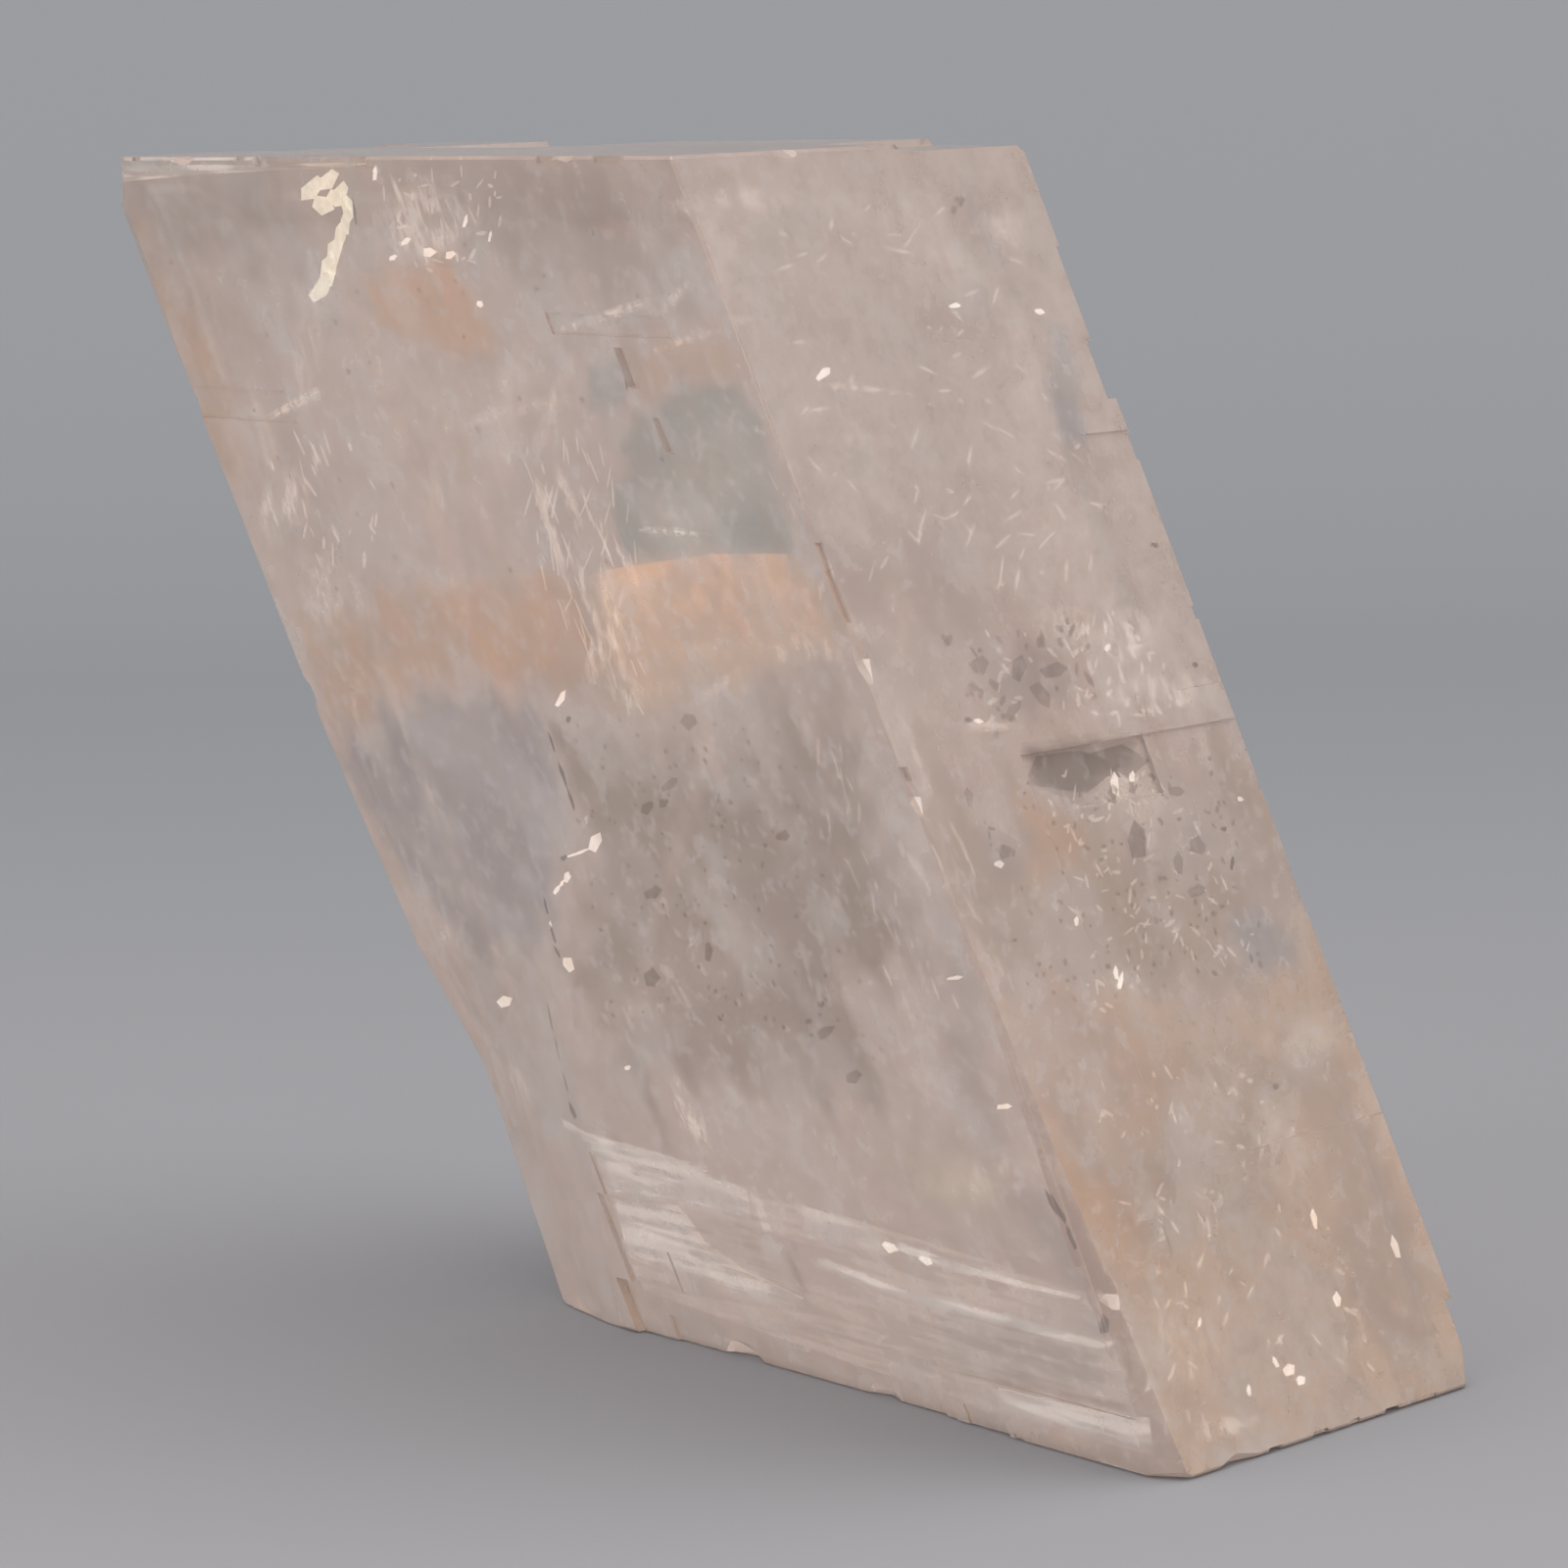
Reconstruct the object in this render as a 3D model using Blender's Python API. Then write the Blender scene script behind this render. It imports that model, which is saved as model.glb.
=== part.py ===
"""Iceland spar: one cleavage rhomb of clear calcite, standing on its smallest face.

Calcite splits along three sets of planes. Everything here is placed along the
three edges that leave the blunt corner at the crystal's left foot: p runs along
edge a to the front corner, q along edge b to the back corner and r up edge c.
Places are (p, q, r) in millimetres, and the script turns them into metres, +Z up.
The six faces are "left" (q = 0), "back" (q = EDGE_B), "side" (p = 0),
"right" (p = EDGE_A), "base" (r = 0) and "top" (r = EDGE_C).
"""

from math import cos, radians, sqrt
from random import Random

import bmesh
import bpy
from mathutils import Matrix, Vector

MM = 0.001

# Lengths of the three edges, and calcite's own angle between each two of them
EDGE_A = 47.4
EDGE_B = 22.95
EDGE_C = 60.0
BLUNT_ANGLE = radians(101.92)

# The blunt corner's place, which puts the origin under the middle of the crystal's box
BLUNT_CORNER = Vector((-12.26, 9.50, 0.0))

# Rubbed width along every sharp edge
EDGE_WEAR = 0.16

# How far a cutter reaches past the face that it cuts into
OUT = 2.0

# Points of the cut crystal that lie closer than this are one
WELD_DISTANCE = 0.005

# Flat breaks that cross the lattice: three points of each break's plane
BREAKS = {
    "front_edge_foot": ((EDGE_A, 0, 28), (EDGE_A - 1.7, 0, 4), (EDGE_A, 0.9, 4)),
    "front_foot_tip": ((EDGE_A, 0, 1.1), (EDGE_A - 2.2, 0, 0), (EDGE_A, 1.5, 0)),
    "right_foot_tip": ((EDGE_A, EDGE_B, 3.4), (EDGE_A - 1.5, EDGE_B, 0), (EDGE_A, EDGE_B - 1.5, 0)),
    "right_top_tip": ((EDGE_A, EDGE_B, EDGE_C - 0.8), (EDGE_A - 0.9, EDGE_B, EDGE_C),
                      (EDGE_A, EDGE_B - 0.9, EDGE_C)),
    "left_edge_upper": ((0, 0, 44), (1.0, 0, EDGE_C), (0, 0.28, EDGE_C)),
    "left_top_tip": ((0, 0, EDGE_C - 3), (2.4, 0, EDGE_C), (0, 1.3, EDGE_C)),
    "back_edge": ((0, EDGE_B, 52), (1.5, EDGE_B, 8), (0, EDGE_B - 0.8, 8)),
    "top_back_edge": ((0, EDGE_B, EDGE_C - 0.25), (EDGE_A, EDGE_B, EDGE_C - 0.6),
                      (EDGE_A, EDGE_B - 0.4, EDGE_C)),
}

# Broad shallow breaks low on the left edge. Each takes away what lies in a lattice box
# and outside two planes: a floor that dips towards the edge, and a low riser
SCOOPS = {
    "left_edge_low": (
        ((-OUT, 24.0), (-OUT, 4.0), (-OUT, 33.0)),
        ((0, 0, 33), (10, 0, 33), (0, 0.7, 19)),
        ((21.9, 0, 33), (9.6, 0, 11), (0, 0.96, 11)),
    ),
    "left_foot": (
        ((-OUT, 24.0), (-OUT, 4.0), (-OUT, 22.0)),
        ((0, 0.7, 19), (10, 0.7, 19), (0, 1.83, 13.5)),
        ((11.2, 0, 14), (6.0, 0, 0), (0, 1.14, 0)),
    ),
}

# Ledges, steps and slots, where thin slabs came away along the lattice:
# the lowest and highest p, then q, then r of what is missing
LEDGES = {
    "top_right_step": ((EDGE_A - 6.4, EDGE_A + OUT), (EDGE_B - 8.5, EDGE_B + OUT),
                       (EDGE_C - 0.33, EDGE_C + OUT)),
    "top_middle_step": ((10.9, 22.4), (12.4, EDGE_B + OUT), (EDGE_C - 0.26, EDGE_C + OUT)),
    "top_middle_inner_step": ((14.4, 20.0), (15.8, EDGE_B + OUT), (EDGE_C - 0.55, EDGE_C + OUT)),
    "top_front_sliver": ((14.0, 23.7), (-OUT, 0.38), (EDGE_C - 0.48, EDGE_C + OUT)),
    "top_side_sliver": ((-OUT, 4.5), (9.2, 18.4), (EDGE_C - 0.42, EDGE_C + OUT)),
    "right_edge_upper_notch": ((EDGE_A - 1.1, EDGE_A + OUT), (EDGE_B - 0.4, EDGE_B + OUT), (48.9, 54.9)),
    "right_edge_lower_notch": ((EDGE_A - 1.7, EDGE_A + OUT), (EDGE_B - 0.75, EDGE_B + OUT), (47.7, 50.4)),
    "right_edge_foot_notch": ((EDGE_A - 1.5, EDGE_A + OUT), (EDGE_B - 0.7, EDGE_B + OUT), (1.9, 4.1)),
    "right_face_lower_step": ((EDGE_A - 0.2, EDGE_A + OUT), (7.6, EDGE_B + OUT), (13.2, 32.4)),
    "right_face_inner_step": ((EDGE_A - 0.42, EDGE_A + OUT), (9.4, 16.2), (29.6, 32.4)),
    "right_face_upper_step": ((EDGE_A - 0.16, EDGE_A + OUT), (19.5, EDGE_B + OUT), (34.1, 46.2)),
    "left_face_upper_sliver": ((33.5, 42.4), (-OUT, 0.14), (51.8, 52.8)),
    "left_face_side_sliver": ((-OUT, 8.8), (-OUT, 0.17), (46.7, 48.3)),
    "left_face_upper_slot": ((37.8, 38.4), (-OUT, 0.9), (49.5, 51.3)),
    "left_face_lower_slot": ((38.7, 39.2), (-OUT, 0.8), (46.5, 48.1)),
    "left_foot_stair_1": ((9.6, EDGE_A + OUT), (-OUT, 0.14), (-OUT, 9.7)),
    "left_foot_stair_2": ((8.9, 33.4), (-OUT, 0.28), (-OUT, 7.5)),
    "left_foot_stair_3": ((12.8, 33.0), (-OUT, 0.4), (-OUT, 5.0)),
    "left_foot_stair_4": ((7.6, 32.1), (-OUT, 0.56), (-OUT, 2.9)),
    "left_foot_stair_5": ((10.4, 31.2), (-OUT, 0.76), (-OUT, 1.3)),
    "left_foot_band": ((33.0, EDGE_A + OUT), (-OUT, 0.3), (2.7, 5.0)),
    "left_foot_notch": ((33.0, 36.1), (-OUT, 0.5), (-OUT, 1.0)),
    "base_groove_1": ((5.4, 41.4), (3.4, 4.7), (-OUT, 0.24)),
    "base_groove_2": ((12.4, EDGE_A + OUT), (6.8, 7.7), (-OUT, 0.2)),
    "base_groove_3": ((-OUT, 32.4), (10.6, 13.0), (-OUT, 0.3)),
    "base_groove_4": ((16.4, EDGE_A + OUT), (15.4, 16.6), (-OUT, 0.22)),
    "back_face_slab": ((9.4, 31.4), (EDGE_B - 0.8, EDGE_B + OUT), (34.0, EDGE_C + OUT)),
    "back_face_inner_slab": ((13.9, 25.4), (EDGE_B - 1.35, EDGE_B + OUT), (41.5, EDGE_C + OUT)),
    "back_face_low_slab": ((24.4, 38.4), (EDGE_B - 0.4, EDGE_B + OUT), (-OUT, 11.5)),
    "back_face_middle_sliver": ((6.4, 20.4), (EDGE_B - 0.22, EDGE_B + OUT), (17.6, 21.4)),
    "side_face_slab": ((-OUT, 0.55), (5.6, 16.2), (9.6, 30.2)),
    "side_face_inner_slab": ((-OUT, 0.95), (9.0, 14.1), (14.0, 25.5)),
    "side_face_top_slab": ((-OUT, 0.34), (10.4, EDGE_B + OUT), (42.6, EDGE_C + OUT)),
    "back_foot_corner": ((-OUT, 3.4), (EDGE_B - 2.9, EDGE_B + OUT), (-OUT, 4.8)),
    "back_top_corner": ((-OUT, 2.3), (EDGE_B - 1.7, EDGE_B + OUT), (EDGE_C - 2.9, EDGE_C + OUT)),
}

# Shell-shaped chips: a point of an edge, the two faces that meet there, the
# radius of the hollow and how deep it bites below that point
CHIPS = {
    "base_right_long": ((EDGE_A, 4.6, 0), ("right", "base"), 3.6, 0.5),
    "front_edge_middle": ((EDGE_A, 0, 37.6), ("right", "left"), 6.0, 0.5),
    "front_edge_low": ((EDGE_A, 0, 31.4), ("right", "left"), 3.4, 0.42),
    "front_edge_slit": ((EDGE_A, 0, 8.6), ("right", "left"), 1.7, 0.95),
    "top_front_left": ((7.7, 0, EDGE_C), ("left", "top"), 2.3, 0.45),
    "top_front_right": ((39.6, 0, EDGE_C), ("left", "top"), 1.9, 0.3),
    "left_edge_middle": ((0, 0, 32.4), ("left", "side"), 1.8, 0.42),
    "left_edge_high": ((0, 0, 47.4), ("left", "side"), 1.2, 0.25),
    "right_edge_middle": ((EDGE_A, EDGE_B, 29.3), ("right", "back"), 2.0, 0.25),
    "base_left_near": ((15.4, 0, 0), ("left", "base"), 2.6, 1.1),
    "base_left_far": ((26.2, 0, 0), ("left", "base"), 2.0, 1.0),
    "base_back": ((32.9, EDGE_B, 0), ("back", "base"), 4.2, 0.9),
    "base_side": ((0, 9.6, 0), ("side", "base"), 3.0, 0.75),
    "back_edge_high": ((0, EDGE_B, 44.0), ("side", "back"), 3.8, 0.9),
    "back_edge_low": ((0, EDGE_B, 26.5), ("side", "back"), 2.6, 0.9),
    "top_back": ((37.4, EDGE_B, EDGE_C), ("back", "top"), 2.8, 0.7),
    "top_side": ((0, 6.2, EDGE_C), ("side", "top"), 2.0, 0.4),
    "top_right": ((EDGE_A, 7.0, EDGE_C), ("right", "top"), 2.4, 0.35),
}

# Small nicks along the edges: how many on each, and the least and most of their sizes
NICKS_PER_EDGE = 4
NICK_LENGTH = (0.5, 2.2)
NICK_DEPTH = (0.18, 0.34)
NICK_SEED = 11

# A point well inside the crystal, and one out in front of its left edge
MIDDLE = (EDGE_A / 2, EDGE_B / 2, EDGE_C / 2)
OUTSIDE = (-0.9 * OUT, -0.9 * OUT, 8.0)

# The crystal's finish
PEACH_GREY = (0.55, 0.42, 0.36, 1.0)
ROUGHNESS = 0.22
CALCITE_IOR = 1.6
CLEARNESS = 0.85


def lattice():
    """The three edge directions as the columns of a matrix: a and b lie flat, c leans left."""
    half = BLUNT_ANGLE / 2
    lean = cos(BLUNT_ANGLE) / cos(half)
    a = Vector((cos(half), -sqrt(1 - cos(half) ** 2), 0))
    b = Vector((cos(half), sqrt(1 - cos(half) ** 2), 0))
    c = Vector((lean, 0, sqrt(1 - lean ** 2)))
    return Matrix((a, b, c)).transposed()


LATTICE = lattice()


def place(p, q, r):
    """The point (p, q, r) of the lattice, in metres."""
    return (LATTICE @ Vector((p, q, r)) + BLUNT_CORNER) * MM


def outward(face):
    """The direction that a face of the crystal looks in."""
    a, b, c = LATTICE.transposed()
    normals = {"right": b.cross(c), "back": c.cross(a), "top": a.cross(b)}
    opposites = {"side": "right", "left": "back", "base": "top"}
    if face in opposites:
        return -normals[opposites[face]].normalized()
    return normals[face].normalized()


def collection(name):
    made = bpy.data.collections.new(name)
    bpy.context.scene.collection.children.link(made)
    return made


def spar_material():
    material = bpy.data.materials.new("clear_spar")
    material.use_nodes = True
    shader = material.node_tree.nodes["Principled BSDF"]
    shader.inputs["Base Color"].default_value = PEACH_GREY
    shader.inputs["Roughness"].default_value = ROUGHNESS
    shader.inputs["Metallic"].default_value = 0.0
    shader.inputs["IOR"].default_value = CALCITE_IOR
    shader.inputs["Transmission Weight"].default_value = CLEARNESS
    return material


def add_lattice_box(bm, low, high):
    """A box along the lattice between two (p, q, r) corners."""
    size = [top - bottom for bottom, top in zip(low, high)]
    centre = [(top + bottom) / 2 for bottom, top in zip(low, high)]
    box = bmesh.ops.create_cube(bm, size=1.0)
    for vertex in box["verts"]:
        p, q, r = (centre[axis] + size[axis] * vertex.co[axis] for axis in range(3))
        vertex.co = place(p, q, r)


def break_off(bm, points, keep):
    """Cuts along the plane of three points, keeps one side and closes it with a flat face."""
    first, second, third = (place(*point) for point in points)
    normal = (second - first).cross(third - first).normalized()
    if normal.dot(place(*keep) - first) > 0:
        normal = -normal
    everything = bm.verts[:] + bm.edges[:] + bm.faces[:]
    cut = bmesh.ops.bisect_plane(bm, geom=everything, dist=1e-7, plane_co=first, plane_no=normal,
                                 clear_outer=True)
    rim = [item for item in cut["geom_cut"] if isinstance(item, bmesh.types.BMEdge)]
    bmesh.ops.holes_fill(bm, edges=rim, sides=0)


def new_object(name, bm, owner):
    bmesh.ops.recalc_face_normals(bm, faces=bm.faces[:])
    mesh = bpy.data.meshes.new(name)
    bm.to_mesh(mesh)
    bm.free()
    made = bpy.data.objects.new(name, mesh)
    owner.objects.link(made)
    return made


def make_crystal(owner):
    bm = bmesh.new()
    add_lattice_box(bm, (0, 0, 0), (EDGE_A, EDGE_B, EDGE_C))
    bmesh.ops.bevel(bm, geom=bm.edges[:], offset=EDGE_WEAR * MM, offset_type="OFFSET",
                    segments=1, profile=0.5, affect="EDGES")
    for points in BREAKS.values():
        break_off(bm, points, keep=MIDDLE)
    crystal = new_object("spar_crystal", bm, owner)
    crystal.data.materials.append(spar_material())
    return crystal


def as_cutter(cutter):
    cutter.hide_render = True
    cutter.display_type = "WIRE"


def make_ledge(name, spans, owner):
    low, high = zip(*spans)
    bm = bmesh.new()
    add_lattice_box(bm, low, high)
    as_cutter(new_object("ledge_" + name, bm, owner))


def make_scoop(name, spans, planes, owner):
    """A lattice box from which the planes leave only the wedge outside them."""
    low, high = zip(*spans)
    bm = bmesh.new()
    add_lattice_box(bm, low, high)
    for points in planes:
        break_off(bm, points, keep=OUTSIDE)
    as_cutter(new_object("scoop_" + name, bm, owner))


def make_chip(name, point, faces, radius, depth, owner):
    """A faceted ball set so that it bites to the given depth under a point of an edge."""
    direction = (outward(faces[0]) + outward(faces[1])).normalized()
    centre = place(*point) + direction * (radius - depth) * MM
    bm = bmesh.new()
    bmesh.ops.create_icosphere(bm, subdivisions=2, radius=radius * MM, matrix=Matrix.Translation(centre))
    as_cutter(new_object("chip_" + name, bm, owner))


def make_nicks(owner):
    """Small lattice-sided nicks at random places along the twelve edges."""
    rng = Random(NICK_SEED)
    lengths = (EDGE_A, EDGE_B, EDGE_C)
    for along in range(3):
        across = [axis for axis in range(3) if axis != along]
        for ends in ((0, 0), (0, 1), (1, 0), (1, 1)):
            for number in range(NICKS_PER_EDGE):
                span = rng.uniform(*NICK_LENGTH)
                start = rng.uniform(0.05, 0.95) * (lengths[along] - span)
                spans = [None, None, None]
                spans[along] = (start, start + span)
                for axis, end in zip(across, ends):
                    depth = rng.uniform(*NICK_DEPTH)
                    spans[axis] = (lengths[axis] - depth, lengths[axis] + OUT) if end else (-OUT, depth)
                name = f"nick_{along}{ends[0]}{ends[1]}_{number}"
                make_ledge(name, spans, owner)


def cut_away(crystal, cutters):
    """Takes all the cutters away at once, then closes up the points that meet."""
    cut = crystal.modifiers.new("cutters", "BOOLEAN")
    cut.operation = "DIFFERENCE"
    cut.solver = "EXACT"
    cut.operand_type = "COLLECTION"
    cut.collection = cutters
    weld = crystal.modifiers.new("meeting_points", "WELD")
    weld.merge_threshold = WELD_DISTANCE * MM


for old in list(bpy.data.objects):
    bpy.data.objects.remove(old, do_unlink=True)

spar = make_crystal(collection("iceland_spar"))
missing = collection("missing_pieces")
for scoop_name, (scoop_spans, *scoop_planes) in SCOOPS.items():
    make_scoop(scoop_name, scoop_spans, scoop_planes, missing)
for ledge_name, ledge_spans in LEDGES.items():
    make_ledge(ledge_name, ledge_spans, missing)
for chip_name, (chip_point, chip_faces, chip_radius, chip_depth) in CHIPS.items():
    make_chip(chip_name, chip_point, chip_faces, chip_radius, chip_depth, missing)
make_nicks(missing)
cut_away(spar, missing)
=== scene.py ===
import math
import random

import bmesh
import bpy
import numpy as np
from mathutils import Matrix, Vector
from mathutils.bvhtree import BVHTree


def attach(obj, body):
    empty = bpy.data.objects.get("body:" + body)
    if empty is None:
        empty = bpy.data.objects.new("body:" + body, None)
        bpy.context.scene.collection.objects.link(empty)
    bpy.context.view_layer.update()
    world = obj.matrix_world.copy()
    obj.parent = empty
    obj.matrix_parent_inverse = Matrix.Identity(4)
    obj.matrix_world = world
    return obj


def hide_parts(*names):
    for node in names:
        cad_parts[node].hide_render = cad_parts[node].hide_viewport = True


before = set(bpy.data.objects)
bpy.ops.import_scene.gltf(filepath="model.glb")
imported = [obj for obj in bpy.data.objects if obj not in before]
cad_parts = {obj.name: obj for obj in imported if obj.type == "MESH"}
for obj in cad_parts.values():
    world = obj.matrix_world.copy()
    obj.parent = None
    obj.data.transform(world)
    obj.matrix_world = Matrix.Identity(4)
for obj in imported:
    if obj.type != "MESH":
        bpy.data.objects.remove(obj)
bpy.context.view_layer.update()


# The crystal. One natural cleavage rhomb of calcite, cloudy peach to clear, split from a
# larger crystal along its three cleavages, so that it has no coating and nothing fixed to it.
# Places on it are given as millimetres (p, q, r) along its three edges from the blunt foot.
MM = 0.001
BLUNT_ANGLE = math.radians(101.92)
BLUNT_FOOT = Vector((-12.26, 9.50, 0.0))
CALCITE_IOR = 1.60
CLEARNESS = 0.70
ABSORBED_TINT = (0.98, 0.90, 0.85, 1.0)
ABSORPTION_DENSITY = 22.0

half_angle = BLUNT_ANGLE / 2
lean = math.cos(BLUNT_ANGLE) / math.cos(half_angle)
EDGE_DIRECTIONS = Matrix((
    (math.cos(half_angle), math.cos(half_angle), lean),
    (-math.sin(half_angle), math.sin(half_angle), 0.0),
    (0.0, 0.0, math.sqrt(1.0 - lean * lean)),
))
EDGE_READINGS = EDGE_DIRECTIONS.inverted()


def at(p, q, r):
    """The place in metres of a point given along the crystal's three edges."""
    return (EDGE_DIRECTIONS @ Vector((p, q, r)) + BLUNT_FOOT) * MM


def add_node(tree, kind, settings=None, values=None):
    """Adds a node, sets or links its inputs by identifier, name or number, and gives its outputs."""
    made = tree.nodes.new(kind)
    for name, value in (settings or {}).items():
        setattr(made, name, value)
    by_identifier = {socket.identifier: socket for socket in made.inputs}
    for name, value in (values or {}).items():
        socket = by_identifier.get(name) or made.inputs[name]
        if isinstance(value, bpy.types.NodeSocket):
            tree.links.new(value, socket)
        else:
            socket.default_value = value
    return made.outputs


class Field:
    """A value or colour that varies through a finish, joined to others by plain arithmetic."""

    def __init__(self, finish, socket):
        self.finish = finish
        self.socket = socket

    def math(self, operation, *operands):
        return self.finish.node("ShaderNodeMath", {"operation": operation}, dict(enumerate(operands)))

    def __add__(self, other):
        return self.math("ADD", self, other)

    __radd__ = __add__

    def __rsub__(self, other):
        return self.math("SUBTRACT", other, self)

    def __mul__(self, other):
        return self.math("MULTIPLY", self, other)

    def clamped(self):
        return self.math("MINIMUM", self.math("MAXIMUM", self, 0.0), 1.0)

    def rise(self, start, end):
        """0 below start, 1 above end, and smooth between them."""
        return self.finish.node(
            "ShaderNodeMapRange", {"interpolation_type": "SMOOTHSTEP"},
            {"Value": self, "From Min": start, "From Max": end},
        )


class Finish:
    """One material, with its nodes made from expressions."""

    def __init__(self, name):
        self.material = bpy.data.materials.new(name)
        self.material.use_nodes = True
        self.tree = self.material.node_tree
        self.tree.nodes.clear()

    def node(self, kind, settings=None, values=None, output=0):
        inputs = {
            name: value.socket if isinstance(value, Field) else value
            for name, value in (values or {}).items()
        }
        return Field(self, add_node(self.tree, kind, settings, inputs)[output])

    def mix(self, amount, first, second):
        """first where amount is 0 and second where it is 1, for colours."""
        return self.node(
            "ShaderNodeMix", {"data_type": "RGBA", "clamp_factor": True},
            {"Factor_Float": amount, "A_Color": first, "B_Color": second}, 2,
        )

    def place(self):
        return self.node("ShaderNodeTexCoord", output=3)

    def noise(self, place, size_mm, detail=1.0, roughness=0.55, seed=0.0):
        """Smooth noise from 0 to 1 whose lumps are about size_mm across."""
        shifted = self.node(
            "ShaderNodeVectorMath", {"operation": "ADD"}, {0: place, 1: (seed, seed * 0.7, seed * 0.3)},
        )
        return self.node("ShaderNodeTexNoise", None, {
            "Vector": shifted, "Scale": 1.0 / (size_mm * MM), "Detail": detail, "Roughness": roughness,
        })

    def squeezed(self, place, factors):
        """The place with each axis scaled by its own factor, so that what reads it is drawn out."""
        return self.node("ShaderNodeVectorMath", {"operation": "MULTIPLY"}, {0: place, 1: factors})

    def close(self, shader, volume=None):
        out = self.tree.nodes.new("ShaderNodeOutputMaterial")
        self.tree.links.new(shader.socket, out.inputs["Surface"])
        if volume:
            self.tree.links.new(volume.socket, out.inputs["Volume"])
        return self.material


def rgb(red, green, blue):
    return (red, green, blue, 1.0)


def linked(name, data):
    """An object of the data, in the scene."""
    made = bpy.data.objects.new(name, data)
    bpy.context.scene.collection.objects.link(made)
    return made


def mesh_data(name, mesh):
    """The finished mesh as data that an object can have."""
    data = bpy.data.meshes.new(name)
    mesh.to_mesh(data)
    mesh.free()
    return data


# Iron staining, thin grey places and the broken foot, as outlines in millimetres on each face,
# read along it and up it: colour, strength, softness, outline. Some outlines are painted light
# and shade, not colour of the crystal: white highlights on the foot's steps, the top face and
# the top edge, pale pink at the top of the right face and above the open break, painted
# shade (SHADE) under that break and between the foot's steps, and mauve at the top of the left face.
PEACH = (0.93, 0.77, 0.69)
ORANGE = (0.93, 0.62, 0.43)
PALE_ORANGE = (1.0, 0.79, 0.62)
PALE_PINK = (0.97, 0.87, 0.81)
MAUVE = (0.64, 0.54, 0.51)
LILAC = (0.56, 0.52, 0.53)
BROWN = (0.70, 0.59, 0.51)
CENTRE_BROWN = (0.56, 0.46, 0.39)
GREEN_GREY = (0.56, 0.58, 0.54)
BLUE_GREY = (0.58, 0.62, 0.68)
OLIVE = (0.80, 0.71, 0.56)
# pale white: a white tone in the clouds and thin white lines, and the colour of painted highlights
WHITE_AND_HIGHLIGHT = (0.99, 0.95, 0.92)
BACK_BASE = (1.0, 0.92, 0.87)
# painted shade
SHADE = (0.44, 0.34, 0.30)
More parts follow.
